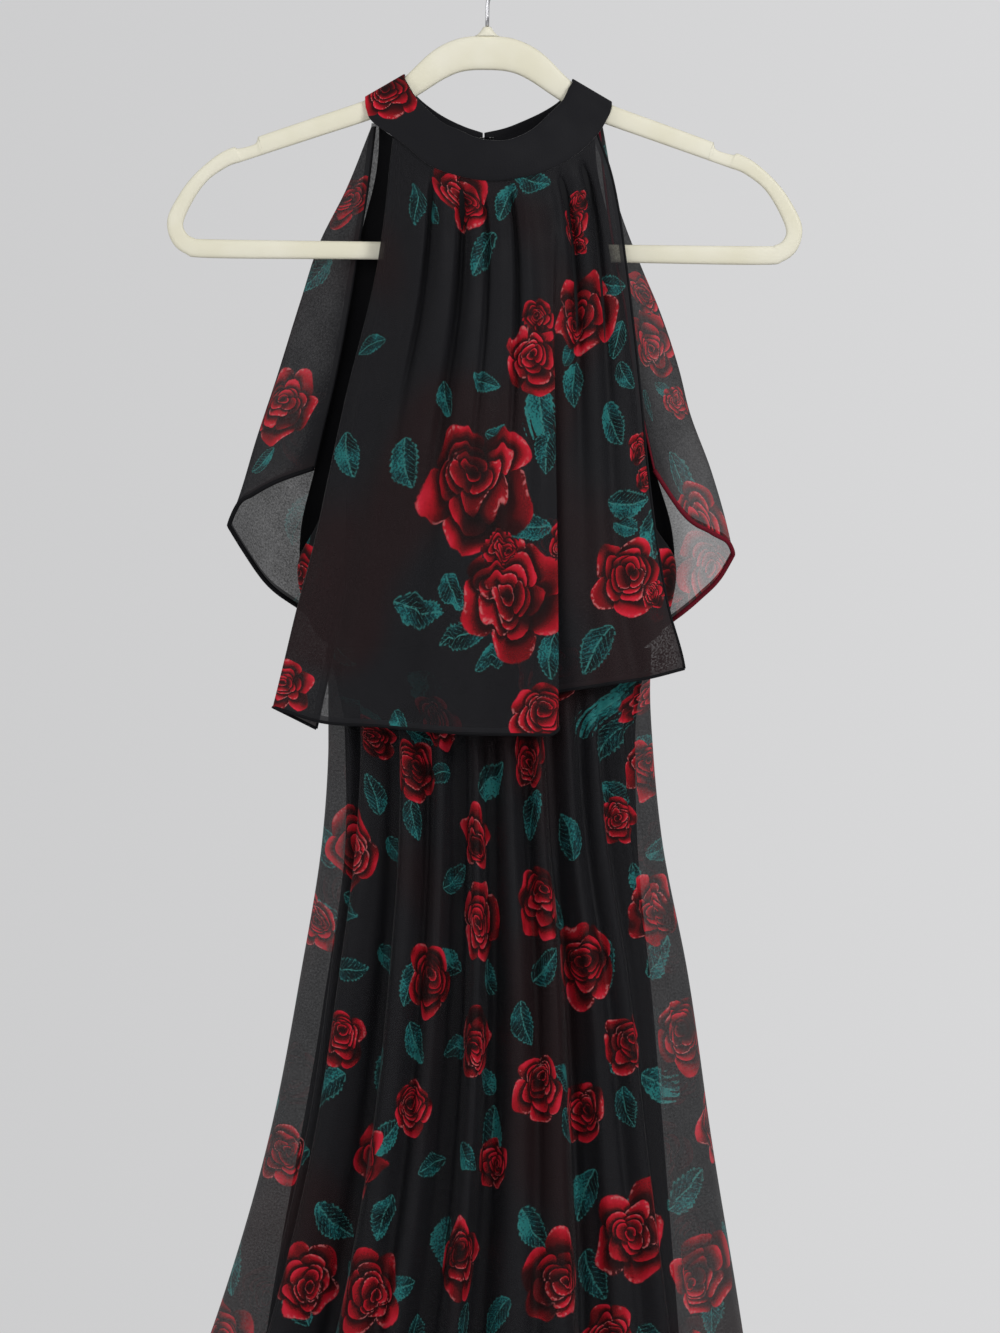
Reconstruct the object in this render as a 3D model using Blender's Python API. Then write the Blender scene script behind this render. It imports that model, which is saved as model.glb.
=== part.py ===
"""A halter-neck maxi dress of printed chiffon that hangs on a slim ivory hanger.

Metres, +Z up, front towards -Y. The origin is the inside top of the hanger's hook. Each sewn piece is a
thin wall worked out from the tables below, whose columns are named above each of them.
"""
import math

import bmesh
import bpy
import numpy as np

# Driving sizes
CLOTH = 0.0012            # thickness of a chiffon or bodice wall
BAND = 0.0016             # thickness of the interfaced neckband
SEAM = 0.0004             # gap between pieces that are sewn together
HALF_SEAM = SEAM / 2
WAIST_Z = -0.500
HEM_Z = -1.530
LINING_HEM_Z = -1.455
TILT = math.radians(0.72)  # the hanger leans a little, its right end down

HANGER_DEPTH = 0.007
HOOK_INSIDE = 0.019
WIRE = 0.0026
COLLAR_TOP_Z = -0.0700
COLLAR_BASE_Z = -0.0759
COLLAR_RADIUS = 0.0070
COLLAR_TIP_RADIUS = 0.0030
HOOK_END_Z = -0.0740

# Colours: red, green, blue
IVORY = (0.84, 0.81, 0.68)
STEEL = (0.72, 0.72, 0.74)
BLACK = (0.010, 0.010, 0.013)
CHIFFON = (0.030, 0.010, 0.015)

# Half of the hanger's frame, from the arch over the shoulder and round the end to the bar.
# outer x, outer z, inner x, inner z
HANGER = (
    (0.0000, -0.0762, 0.0000, -0.0998),
    (0.0190, -0.0780, 0.0160, -0.1010),
    (0.0375, -0.0870, 0.0290, -0.1062),
    (0.0575, -0.1060, 0.0465, -0.1175),
    (0.0710, -0.1148, 0.0630, -0.1275),
    (0.0852, -0.1223, 0.0794, -0.1350),
    (0.1200, -0.1346, 0.1155, -0.1473),
    (0.1545, -0.1468, 0.1500, -0.1590),
    (0.1578, -0.1486, 0.1540, -0.1604),
    (0.1602, -0.1532, 0.1570, -0.1614),
    (0.1712, -0.1564, 0.1670, -0.1648),
    (0.1752, -0.1556, 0.1705, -0.1660),
    (0.1870, -0.1618, 0.1790, -0.1692),
    (0.2020, -0.1752, 0.1920, -0.1785),
    (0.2125, -0.1895, 0.2012, -0.1910),
    (0.2200, -0.2060, 0.2086, -0.2070),
    (0.2170, -0.2210, 0.2073, -0.2145),
    (0.2070, -0.2298, 0.2015, -0.2186),
    (0.1900, -0.2325, 0.1885, -0.2195),
    (0.0950, -0.2322, 0.0950, -0.2197),
    (0.0000, -0.2320, 0.0000, -0.2198),
)
# Cross-section of the frame: share of the way across, share of half the depth
FRAME_SECTION = ((0.0, 0.45), (0.16, 1.0), (0.84, 1.0), (1.0, 0.45), (1.0, -0.45), (0.84, -1.0),
                 (0.16, -1.0), (0.0, -0.45))

# Where the neckband lies over a hanger arm: half its thickness out from the arm, and height over it
# y, rise
CREST = ((HALF_SEAM, 0.0015), (0.0028, 0.0013), (0.0048, -0.0012))
CREST_NECK_X = 0.0585
CREST_SEAM_X = 0.0848

# Neckband, front, left to right: neck x, neck z, seam x, seam z, y
BAND_FRONT = (
    (-0.0565, -0.1100, -0.0838, -0.1275, -0.0056),
    (-0.0500, -0.1205, -0.0790, -0.1365, -0.0090),
    (-0.0336, -0.1365, -0.0580, -0.1515, -0.0165),
    (-0.0204, -0.1432, -0.0400, -0.1665, -0.0220),
    (-0.0090, -0.1485, -0.0190, -0.1742, -0.0262),
    (0.0030, -0.1508, 0.0020, -0.1774, -0.0280),
    (0.0150, -0.1500, 0.0210, -0.1752, -0.0268),
    (0.0300, -0.1430, 0.0400, -0.1702, -0.0225),
    (0.0430, -0.1310, 0.0600, -0.1590, -0.0165),
    (0.0520, -0.1215, 0.0752, -0.1440, -0.0095),
    (0.0562, -0.1130, 0.0828, -0.1310, -0.0056),
)
# Neckband, back, left to right: the same columns
BAND_BACK = (
    (-0.0565, -0.1100, -0.0838, -0.1275, 0.0056),
    (-0.0482, -0.1199, -0.0770, -0.1362, 0.0100),
    (-0.0336, -0.1305, -0.0560, -0.1500, 0.0180),
    (-0.0180, -0.1380, -0.0300, -0.1640, 0.0240),
    (-0.0035, -0.1425, -0.0035, -0.1695, 0.0275),
    (0.0110, -0.1395, 0.0180, -0.1672, 0.0262),
    (0.0232, -0.1351, 0.0350, -0.1610, 0.0225),
    (0.0380, -0.1285, 0.0560, -0.1500, 0.0165),
    (0.0495, -0.1213, 0.0730, -0.1390, 0.0100),
    (0.0562, -0.1130, 0.0828, -0.1310, 0.0056),
)
BACK_MIDDLE_X = -0.0035   # the closure and the centre-back seam
CLOSURE_GAP = 0.0012

# Front overlay, outline of its free sides: z, left x, right x
OVERLAY_SIDES = (
    (-0.1460, -0.0662, 0.0752),
    (-0.1700, -0.0690, 0.0838),
    (-0.1970, -0.0718, 0.0897),
    (-0.2315, -0.0766, 0.0945),
    (-0.3285, -0.0994, 0.1055),
    (-0.3770, -0.1098, 0.1100),
    (-0.4352, -0.1223, 0.1175),
    (-0.4719, -0.1320, 0.1240),
    (-0.5121, -0.1415, 0.1348),
    (-0.5419, -0.1487, 0.1380),
)
OVERLAY_LEFT_HEM_Z = -0.5419
OVERLAY_RIGHT_HEM_Z = -0.5150
# Its hem: x, z, left of the deep pleat and right of it
HEM_LEFT = ((-0.1487, -0.5419), (-0.1133, -0.5512), (-0.0613, -0.5551), (-0.0128, -0.5590), (0.0475, -0.5606))
HEM_RIGHT = ((0.0330, -0.5330), (0.0495, -0.5295), (0.0773, -0.5250), (0.1050, -0.5222), (0.1348, -0.5150))
PLEAT_X = 0.0475          # the deep pleat's edge, which falls straight from the band
PLEAT_TURN = 0.0050       # from the edge to where the cloth starts to turn
PLEAT_STEP = 0.0080       # width of the turn at the band, where the pleat is shut flat
PLEAT_TUCK = 0.0060       # how far the cloth turns back behind that edge, at the hem
PLEAT_CURL = (0.0020, 0.0220)  # reach of the turn's curve at the band and at the hem
PLEAT_DROP = 0.0160       # how far the right part lies behind it, at the hem
# How far the front overlay stands forward: z, middle y, left side y, right side y
OVERLAY_DEPTH = (
    (-0.1460, -0.0290, -0.0110, -0.0100),
    (-0.1900, -0.0380, -0.0125, -0.0120),
    (-0.2315, -0.0450, -0.0140, -0.0135),
    (-0.3300, -0.0570, -0.0190, -0.0165),
    (-0.4350, -0.0650, -0.0270, -0.0230),
    (-0.5600, -0.0650, -0.0340, -0.0290),
)
# Small pleats under the band: share of the way across, depth at the band, depth at the hem, half width
OVERLAY_PLEATS = (
    (0.100, 0.0010, 0.0060, 0.055),
    (0.205, 0.0050, 0.0010, 0.040),
    (0.320, 0.0025, 0.0050, 0.050),
    (0.520, 0.0020, 0.0015, 0.040),
    (0.680, 0.0025, 0.0060, 0.060),
    (0.810, 0.0050, 0.0010, 0.045),
)

# Under-bodice, free sides of its front and back: z, front left x, front right x, back left x, back right x
BODICE_SIDES = (
    (-0.1380, -0.0610, 0.0700, -0.0760, 0.0740),
    (-0.1900, -0.0665, 0.0780, -0.0840, 0.0820),
    (-0.2330, -0.0715, 0.0850, -0.0920, 0.0900),
    (-0.2800, -0.0800, 0.0920, -0.0995, 0.0975),
    (-0.3285, -0.0930, 0.0985, -0.1098, 0.1060),
    (-0.3770, -0.1050, 0.1050, -0.1215, 0.1165),
    (-0.4140, -0.1200, 0.1160, -0.1300, 0.1270),
    (-0.4340, -0.1310, 0.1290, -0.1310, 0.1290),
    (-0.4700, -0.1270, 0.1260, -0.1270, 0.1260),
    (-0.5000, -0.1130, 0.1130, -0.1130, 0.1130),
)
# Its depth: z, front middle y, front side y, back middle y, back side y
BODICE_DEPTH = (
    (-0.1380, -0.0235, -0.0095, 0.0230, 0.0115),
    (-0.1900, -0.0235, -0.0095, 0.0230, 0.0115),
    (-0.2330, -0.0280, -0.0095, 0.0260, 0.0120),
    (-0.3285, -0.0325, -0.0095, 0.0310, 0.0120),
    (-0.3900, -0.0340, -0.0070, 0.0330, 0.0090),
    (-0.4340, -0.0350, 0.0, 0.0340, 0.0),
    (-0.5000, -0.0340, 0.0, 0.0330, 0.0),
)

# Back overlay, left wing: z, join x (free edge of the near layer), fold x (the outline), fold y
WING_LEFT = (
    (-0.1380, -0.0785, -0.0812, 0.0115),
    (-0.1830, -0.0840, -0.0994, 0.0120),
    (-0.2176, -0.0895, -0.1168, 0.0130),
    (-0.2592, -0.0960, -0.1306, 0.0150),
    (-0.3146, -0.1065, -0.1480, 0.0180),
    (-0.3562, -0.1165, -0.1618, 0.0200),
    (-0.3909, -0.1240, -0.1722, 0.0220),
    (-0.4151, -0.1270, -0.1805, 0.0230),
    (-0.5600, -0.1270, -0.1840, 0.0260),
)
# Right wing: the same columns
WING_RIGHT = (
    (-0.1380, 0.0765, 0.0792, 0.0115),
    (-0.1940, 0.0825, 0.0905, 0.0120),
    (-0.2329, 0.0885, 0.1050, 0.0135),
    (-0.2661, 0.0950, 0.1189, 0.0150),
    (-0.3077, 0.1010, 0.1327, 0.0175),
    (-0.3354, 0.1060, 0.1396, 0.0190),
    (-0.3770, 0.1150, 0.1549, 0.0215),
    (-0.4340, 0.1270, 0.1700, 0.0240),
    (-0.5600, 0.1290, 0.1720, 0.0260),
)
# Hems: share of the way from the join to the fold, z
NEAR_HEM_LEFT = ((0.0, -0.3756), (0.35, -0.3850), (0.60, -0.3936), (0.85, -0.4013), (1.0, -0.4151))
NEAR_HEM_RIGHT = ((0.0, -0.3770), (0.20, -0.4060), (0.50, -0.4200), (0.85, -0.4285), (1.0, -0.4355))
# Hems: share of the way from the fold to the centre back, z
FAR_HEM_LEFT = ((0.0, -0.4151), (0.06, -0.4311), (0.15, -0.4532), (0.29, -0.4726), (0.55, -0.5030),
                (0.80, -0.5260), (1.0, -0.5350))
FAR_HEM_RIGHT = ((0.0, -0.4355), (0.05, -0.4498), (0.14, -0.4657), (0.26, -0.4823), (0.50, -0.5060),
                 (0.80, -0.5270), (1.0, -0.5350))
NEAR_Y = 0.0068           # the near layer lies just behind the hanger's bar
# How far the back overlay stands back at its middle: z, y
BACK_DEPTH = ((-0.1700, 0.0300), (-0.2300, 0.0450), (-0.3300, 0.0580), (-0.4400, 0.0640), (-0.5600, 0.0660))
NEAR_TOP_Z = -0.1385      # top of the near layer, under the band's end
FAR_TOP_Z = -0.1355       # highest top of the far layer
NEAR_BOW = 0.0025         # how far the near layer bows back
FAR_SPREAD = 1.25         # columns of the far layer stand closer at the fold
BACK_ROUND = 0.8          # roundness of the back from the fold to the centre back
FOLD_SHARE = 12           # the top leaves the fold within this fraction of the way, one in so many
TOP_BLEND = 0.12          # share of the fall over which the cloth leaves the band
# Soft folds of the far layer: share of the way from the fold to the centre back, depth, half width
WING_FOLDS = ((0.22, 0.0055, 0.060), (0.44, 0.0070, 0.070), (0.66, 0.0060, 0.060), (0.87, 0.0050, 0.060))

# Skirt: z, left x, right x, front y, back y, share of the full fold depth
SKIRT = (
    (WAIST_Z - HALF_SEAM, -0.1130, 0.1130, -0.0340, 0.0330, 0.00),
    (-0.5300, -0.1110, 0.1120, -0.0350, 0.0360, 0.07),
    (-0.5700, -0.1110, 0.1140, -0.0380, 0.0400, 0.15),
    (-0.6310, -0.1150, 0.1200, -0.0460, 0.0480, 0.28),
    (-0.7250, -0.1300, 0.1380, -0.0600, 0.0600, 0.40),
    (-0.8430, -0.1530, 0.1550, -0.0720, 0.0730, 0.54),
    (-0.9590, -0.1870, 0.1740, -0.0840, 0.0850, 0.64),
    (-1.0610, -0.2250, 0.1890, -0.0950, 0.0970, 0.73),
    (-1.1830, -0.2680, 0.2060, -0.1070, 0.1100, 0.82),
    (-1.3000, -0.3070, 0.2230, -0.1180, 0.1220, 0.89),
    (-1.4200, -0.3430, 0.2420, -0.1290, 0.1330, 0.95),
    (HEM_Z, -0.3720, 0.2600, -0.1380, 0.1420, 1.00),
)
# Folds, troughs inward: share across at the waist, share across at the hem, depth at the hem, half width
FRONT_FOLDS = (
    (-0.93, -0.88, 0.026, 0.075),
    (-0.62, -0.56, 0.034, 0.095),
    (-0.22, -0.23, 0.046, 0.085),
    (0.05, 0.04, 0.038, 0.065),
    (0.40, 0.56, 0.036, 0.085),
    (0.82, 0.88, 0.026, 0.070),
)
BACK_FOLDS = (
    (-0.90, -0.86, 0.026, 0.080),
    (-0.55, -0.60, 0.044, 0.095),
    (-0.24, -0.27, 0.034, 0.075),
    (0.06, 0.09, 0.046, 0.090),
    (0.42, 0.45, 0.036, 0.080),
    (0.82, 0.80, 0.028, 0.080),
)
# Ridges between them, outward: the same columns
FRONT_RIDGES = ((-0.78, -0.73, 0.010, 0.060), (-0.42, -0.40, 0.018, 0.080), (-0.08, -0.09, 0.016, 0.055),
                (0.22, 0.28, 0.018, 0.085), (0.60, 0.75, 0.012, 0.070))
BACK_RIDGES = ((-0.74, -0.74, 0.014, 0.070), (-0.40, -0.43, 0.018, 0.065), (-0.08, -0.08, 0.016, 0.075),
               (0.24, 0.28, 0.018, 0.080), (0.62, 0.63, 0.016, 0.070))

SKIRT_SPREAD = 1.15       # rows stand closer at the waist
SIDE_FADE = 5             # folds fade out in this fraction of the way from the side seam, one in so many

# Skirt lining: z, left x, right x, front y, back y, share of the full fold depth
LINING_GAP = CLOTH + SEAM
LINING = (
    (WAIST_Z - HALF_SEAM, -0.1130 + LINING_GAP, 0.1130 - LINING_GAP, -0.0340 + LINING_GAP,
     0.0330 - LINING_GAP, 0.0),
    (-0.5500, -0.1000, 0.1020, -0.0275, 0.0275, 0.05),
    (-0.6310, -0.0990, 0.1030, -0.0300, 0.0300, 0.1),
    (-0.7500, -0.1150, 0.1140, -0.0390, 0.0390, 0.25),
    (-0.9500, -0.1500, 0.1300, -0.0540, 0.0560, 0.5),
    (-1.1800, -0.1830, 0.1480, -0.0660, 0.0690, 0.75),
    (LINING_HEM_Z, -0.2180, 0.1680, -0.0800, 0.0830, 1.0),
)
LINING_FOLDS = ((-0.50, -0.52, 0.012, 0.16), (0.02, 0.0, 0.014, 0.16), (0.50, 0.54, 0.012, 0.16))

# Hook and eye of the closure
HOOK_WIRE = 0.0009
HOOK_LENGTH = 0.0070
HOOK_WIDTH = 0.0032
HOOK_LAP = 0.0010         # how far hook and eye reach past the middle
CLOSURE_CLEAR = 0.0002    # the band is a little hollow there
CLOSURE_Z = -0.1470


def column(table, at, which):
    """A value of a table's named column at a value of its first column, joined by a smooth curve."""
    keys = np.array([row[0] for row in table])
    values = np.array([row[which] for row in table])
    if keys[0] > keys[-1]:
        keys = keys[::-1]
        values = values[::-1]
    slopes = np.gradient(values, keys)
    at = np.clip(at, keys[0], keys[-1])
    low = np.clip(np.searchsorted(keys, at) - 1, 0, len(keys) - 2)
    span = keys[low + 1] - keys[low]
    t = (at - keys[low]) / span
    rise = values[low + 1] - values[low]
    # Slopes are held to three times the chord's, so that the curve never swings past its points
    limit = 3 * np.abs(rise / span)
    start = np.clip(slopes[low], -limit, limit) * span
    end = np.clip(slopes[low + 1], -limit, limit) * span
    return (values[low] + start * t + (3 * rise - 2 * start - end) * t ** 2
            + (start + end - 2 * rise) * t ** 3)


def bump(at, centre, half_width):
    """A soft hump, 1 at its centre."""
    return math.exp(-((at - centre) / half_width) ** 2)


def mix(a, b, share):
    return a + (b - a) * share


def ease(share):
    """0 to 1, level at both ends."""
    share = min(max(share, 0.0), 1.0)
    return share * share * (3 - 2 * share)


def painted(name, colour, roughness, metallic=0.0):
    material = bpy.data.materials.new(name)
    material.use_nodes = True
    shader = material.node_tree.nodes["Principled BSDF"]
    shader.inputs["Base Color"].default_value = (*colour, 1.0)
    shader.inputs["Roughness"].default_value = roughness
    shader.inputs["Metallic"].default_value = metallic
    return material


def add_object(name, verts, faces, material, parent=None):
    """One closed mesh with its faces pointing out."""
    mesh = bpy.data.meshes.new(name)
    mesh.from_pydata([tuple(map(float, v)) for v in verts], [], faces)
    work = bmesh.new()
    work.from_mesh(mesh)
    if work.calc_volume(signed=True) < 0:
        bmesh.ops.reverse_faces(work, faces=work.faces)
    work.to_mesh(mesh)
    work.free()
    mesh.materials.append(material)
    mesh.shade_smooth()
    mesh.set_sharp_from_angle(angle=math.radians(50))
    piece = bpy.data.objects.new(name, mesh)
    bpy.context.collection.objects.link(piece)
    piece.parent = parent
    return piece


def wall(name, grid, thickness, material, square_sides=False):
    """A closed wall of even thickness round a grid of mid-surface points, rows by columns.

    With square_sides its end faces lie in the side seam's plane, y = 0.
    """
    middle = np.array(grid, dtype=float)
    rows, columns = middle.shape[:2]
    down = np.gradient(middle, axis=0)
    across = np.gradient(middle, axis=1)
    normal = np.cross(down, across)
    if square_sides:
        normal[:, (0, -1), 1] = 0.0
    normal /= np.linalg.norm(normal, axis=2, keepdims=True)
    half = normal * thickness / 2
    verts = np.concatenate([(middle + half).reshape(-1, 3), (middle - half).reshape(-1, 3)])
    other = rows * columns
    faces = []
    for i in range(rows - 1):
        for j in range(columns - 1):
            a = i * columns + j
            quad = (a, a + 1, a + columns + 1, a + columns)
            faces.append(quad)
            faces.append(tuple(other + k for k in reversed(quad)))
    top = list(range(columns))
    right = [i * columns + columns - 1 for i in range(1, rows)]
    bottom = [(rows - 1) * columns + j for j in range(columns - 2, -1, -1)]
    left = [i * columns for i in range(rows - 2, 0, -1)]
    rim = top + right + bottom + left
    for k, a in enumerate(rim):
        b = rim[(k + 1) % len(rim)]
        faces.append((b, a, other + a, other + b))
    return add_object(name, verts, faces, material)


def tube(name, route, diameter, sides, material, parent=None):
    """A wire along points, with filled ends."""
    curve = bpy.data.curves.new(name, "CURVE")
    curve.dimensions = "3D"
    curve.bevel_depth = diameter / 2
    curve.bevel_resolution = sides
    curve.use_fill_caps = True
    line = curve.splines.new("POLY")
    line.points.add(len(route) - 1)
    for point, place in zip(line.points, route):
        point.co = (*place, 1.0)
    curve.materials.append(material)
    piece = bpy.data.objects.new(name, curve)
    bpy.context.collection.objects.link(piece)
    piece.parent = parent
    return piece


def tilted(x, z):
    """A point of the upright hanger once it leans about its hook."""
    return x * math.cos(TILT) + z * math.sin(TILT), -x * math.sin(TILT) + z * math.cos(TILT)


def build_hanger(ivory, steel):
    lean = bpy.data.objects.new("hanger", None)
    bpy.context.collection.objects.link(lean)
    lean.rotation_euler = (0.0, TILT, 0.0)
    left = [(-a, b, -c, d) for a, b, c, d in HANGER[1:-1]]
    loop = list(HANGER) + left[::-1]
    verts = []
    for outer_x, outer_z, inner_x, inner_z in loop:
        for share, deep in FRAME_SECTION:
            verts.append((mix(outer_x, inner_x, share), deep * HANGER_DEPTH / 2, mix(outer_z, inner_z, share)))
    faces = []
    around = len(FRAME_SECTION)
    for i in range(len(loop)):
        here = i * around
        after = (i + 1) % len(loop) * around
        for j in range(around):
            k = (j + 1) % around
            faces.append((here + j, here + k, after + k, after + j))
    add_object("hanger_body", verts, faces, ivory, lean)
    build_collar(ivory, lean)
    tube("hanger_hook", hook_route(), WIRE, 2, steel, lean)


def build_collar(material, lean):
    """The small cone that the wire comes out of, with a blind bore for the wire."""
    bore = WIRE / 2 + SEAM
    bore_end = HOOK_END_Z - SEAM
    profile = ((0.0, COLLAR_BASE_Z), (COLLAR_RADIUS, COLLAR_BASE_Z), (COLLAR_RADIUS * 0.8, COLLAR_BASE_Z + 0.0022),
               (COLLAR_TIP_RADIUS, COLLAR_TOP_Z), (bore, COLLAR_TOP_Z), (bore, bore_end), (0.0, bore_end))
    steps = 16
    verts = [(0.0, 0.0, profile[0][1]), (0.0, 0.0, profile[-1][1])]
    ring = profile[1:-1]
    for i in range(steps):
        angle = 2 * math.pi * i / steps
        for radius, z in ring:
            # Round at the tip, and as flat as the frame at the foot
            flat = max(0.0, (radius - COLLAR_TIP_RADIUS) / (COLLAR_RADIUS - COLLAR_TIP_RADIUS))
            deep = radius * mix(1.0, HANGER_DEPTH / 2 / COLLAR_RADIUS, flat)
            verts.append((radius * math.cos(angle), deep * math.sin(angle), z))
    faces = []
    count = len(ring)
    for i in range(steps):
        a = 2 + i * count
        b = 2 + (i + 1) % steps * count
        faces.append((0, b, a))
        faces.append((1, a + count - 1, b + count - 1))
        for j in range(count - 1):
            faces.append((a + j, b + j, b + j + 1, a + j + 1))
    add_object("hanger_collar", verts, faces, material, lean)


def hook_route():
    """The wire's middle line: an open hook over the rail, a bend back to the middle, and the shank."""
    radius = HOOK_INSIDE + WIRE / 2
    centre_z = -HOOK_INSIDE
    route = []
    for degrees in range(200, -51, -12):
        angle = math.radians(degrees)
        route.append((radius * math.cos(angle), 0.0, centre_z + radius * math.sin(angle)))
    angle = math.radians(-40)
    start = np.array([radius * math.cos(angle), centre_z + radius * math.sin(angle)])
    leave = np.array([math.sin(angle), -math.cos(angle)])
    end = np.array([0.0, -0.0560])
    for k in range(1, 8):
        t = k / 7
        reach = 0.011
        p = ((1 - t) ** 3 * start + 3 * (1 - t) ** 2 * t * (start + leave * reach)
             + 3 * (1 - t) * t ** 2 * (end + np.array([0.0, reach])) + t ** 3 * end)
        route.append((p[0], 0.0, p[1]))
    route.append((0.0, 0.0, -0.0650))
    route.append((0.0, 0.0, HOOK_END_Z))
    return route


def arm_top(x):
    """Height of the leaning hanger's upper edge at x."""
    edge = [tilted(math.copysign(row[0], x), row[1]) for row in HANGER[2:8]]
    xs = [abs(p[0]) for p in edge]
    return float(np.interp(abs(x), xs, [p[1] for p in edge]))


def crest_row(side, which, front):
    """Where the neckband passes over an arm: the columns of the band's tables."""
    y, rise = CREST[which]
    neck_x = side * CREST_NECK_X
    seam_x = side * CREST_SEAM_X
    return neck_x, arm_top(neck_x) + rise, seam_x, arm_top(seam_x) + rise, -y if front else y


def band_rows(table, front):
    left = [crest_row(-1, k, front) for k in range(len(CREST))]
    right = [crest_row(1, k, front) for k in reversed(range(len(CREST)))]
    return left + list(table) + right


def band_grid(rows, outward):
    """Four points across the band at each of its rows, the middle a little proud."""
    grid = []
    for neck_x, neck_z, seam_x, seam_z, y in rows:
        line = []
        for k in range(4):
            share = k / 3
            proud = 0.0012 * math.sin(math.pi * share) * outward * min(1.0, abs(y) / 0.01)
            slope = 0.0014 * (share - 0.5) * outward * min(1.0, abs(y) / 0.02)
            line.append((mix(neck_x, seam_x, share), y + proud + slope, mix(neck_z, seam_z, share)))
        grid.append(line)
    return np.array(grid).transpose(1, 0, 2)


def smooth_rows(rows, per_row=2):
    """More rows, on a smooth curve through those given."""
    numbered = [(float(k), *row) for k, row in enumerate(rows)]
    finer = []
    for k in range((len(rows) - 1) * per_row + 1):
        at = k / per_row
        finer.append(tuple(float(column(numbered, at, c)) for c in range(1, 6)))
    return finer


def build_neckband(material):
    front = band_rows(BAND_FRONT, True)
    wall("neckband_front", band_grid(smooth_rows(front), -1), BAND, material)
    back = band_rows(BAND_BACK, False)
    middle = next(k for k, row in enumerate(back) if row[0] == BACK_MIDDLE_X)
    halves = (("neckband_back_left", back[:middle + 1], -1), ("neckband_back_right", back[middle:], 1))
    for name, rows, side in halves:
        rows = [list(row) for row in rows]
        end = rows[-1] if side < 0 else rows[0]
        end[0] += side * CLOSURE_GAP / 2
        end[2] += side * CLOSURE_GAP / 2
        wall(name, band_grid(smooth_rows(rows), 1), BAND, material)


def seam_point(table, x):
    """Height and depth of the band's lower edge at x."""
    rows = [(row[2], row[3], row[4]) for row in table]
    return float(column(rows, x, 1)), float(column(rows, x, 2))


def build_closure(steel):
    """A hook on the right end and an eye on the left, inside the back band."""
    inside = BAND / 2 + SEAM + HOOK_WIRE / 2 + CLOSURE_CLEAR
    band_line = [(row[0], row[4]) for row in BAND_BACK]
    half = HOOK_WIDTH / 2
    for name, side, layer in (("neck_eye", -1, 0.0), ("neck_hook", 1, HOOK_WIRE + SEAM)):
        far = BACK_MIDDLE_X + side * HOOK_LENGTH
        near = BACK_MIDDLE_X - side * HOOK_LAP
        spots = [(far, -half)]
        for k in range(7):
            angle = math.radians(-90 + 30 * k)
            spots.append((near + side * half * (1 - math.cos(angle)), half * math.sin(angle)))
        spots.append((far, half))
        route = []
        for x, rise in spots:
            route.append((x, float(column(band_line, x, 1)) - inside - layer, CLOSURE_Z + rise))
        tube(name, route, HOOK_WIRE, 1, steel)


def build_underbodice(material):
    """Front and back, open at the armholes and joined at the sides below them."""
    rows, columns = 12, 17
    for name, sign, table, left_col, right_col, mid_col, side_col in (
            ("underbodice_front", -1, BAND_FRONT, 1, 2, 1, 2),
            ("underbodice_back", 1, BAND_BACK, 3, 4, 3, 4)):
        grid = []
        top_left = float(column(BODICE_SIDES, -0.138, left_col))
        top_right = float(column(BODICE_SIDES, -0.138, right_col))
        end_z = min(seam_point(table, top_left)[0], seam_point(table, top_right)[0]) - SEAM
        for i in range(rows):
            v = i / (rows - 1)
            edge_z = mix(end_z, WAIST_Z + HALF_SEAM, v)
            line = []
            for j in range(columns):
                angle = math.pi * (j / (columns - 1) - 0.5)
                across = math.sin(angle)
                reach = float(column(BODICE_SIDES, edge_z, left_col if across < 0 else right_col))
                top = top_left if across < 0 else top_right
                top_x = top * abs(across)
                seam_z, seam_y = seam_point(table, top_x)
                z = mix(seam_z - SEAM - BAND / 2, WAIST_Z + HALF_SEAM, v)
                middle_y = float(column(BODICE_DEPTH, z, mid_col))
                side_y = float(column(BODICE_DEPTH, edge_z, side_col)) + sign * HALF_SEAM
                body_y = side_y + (middle_y - side_y) * math.cos(angle)
                # Under the band the bodice lies against the inside of the overlay
                top_y = seam_y - sign * LINING_GAP
                y = mix(top_y, body_y, ease(v / 0.10))
                line.append((mix(top_x, reach * abs(across), ease(v / 0.2)) if v < 0.2 else reach * abs(across),
                             y, z))
            grid.append(line)
        wall(name, grid, CLOTH, material, True)


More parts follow.
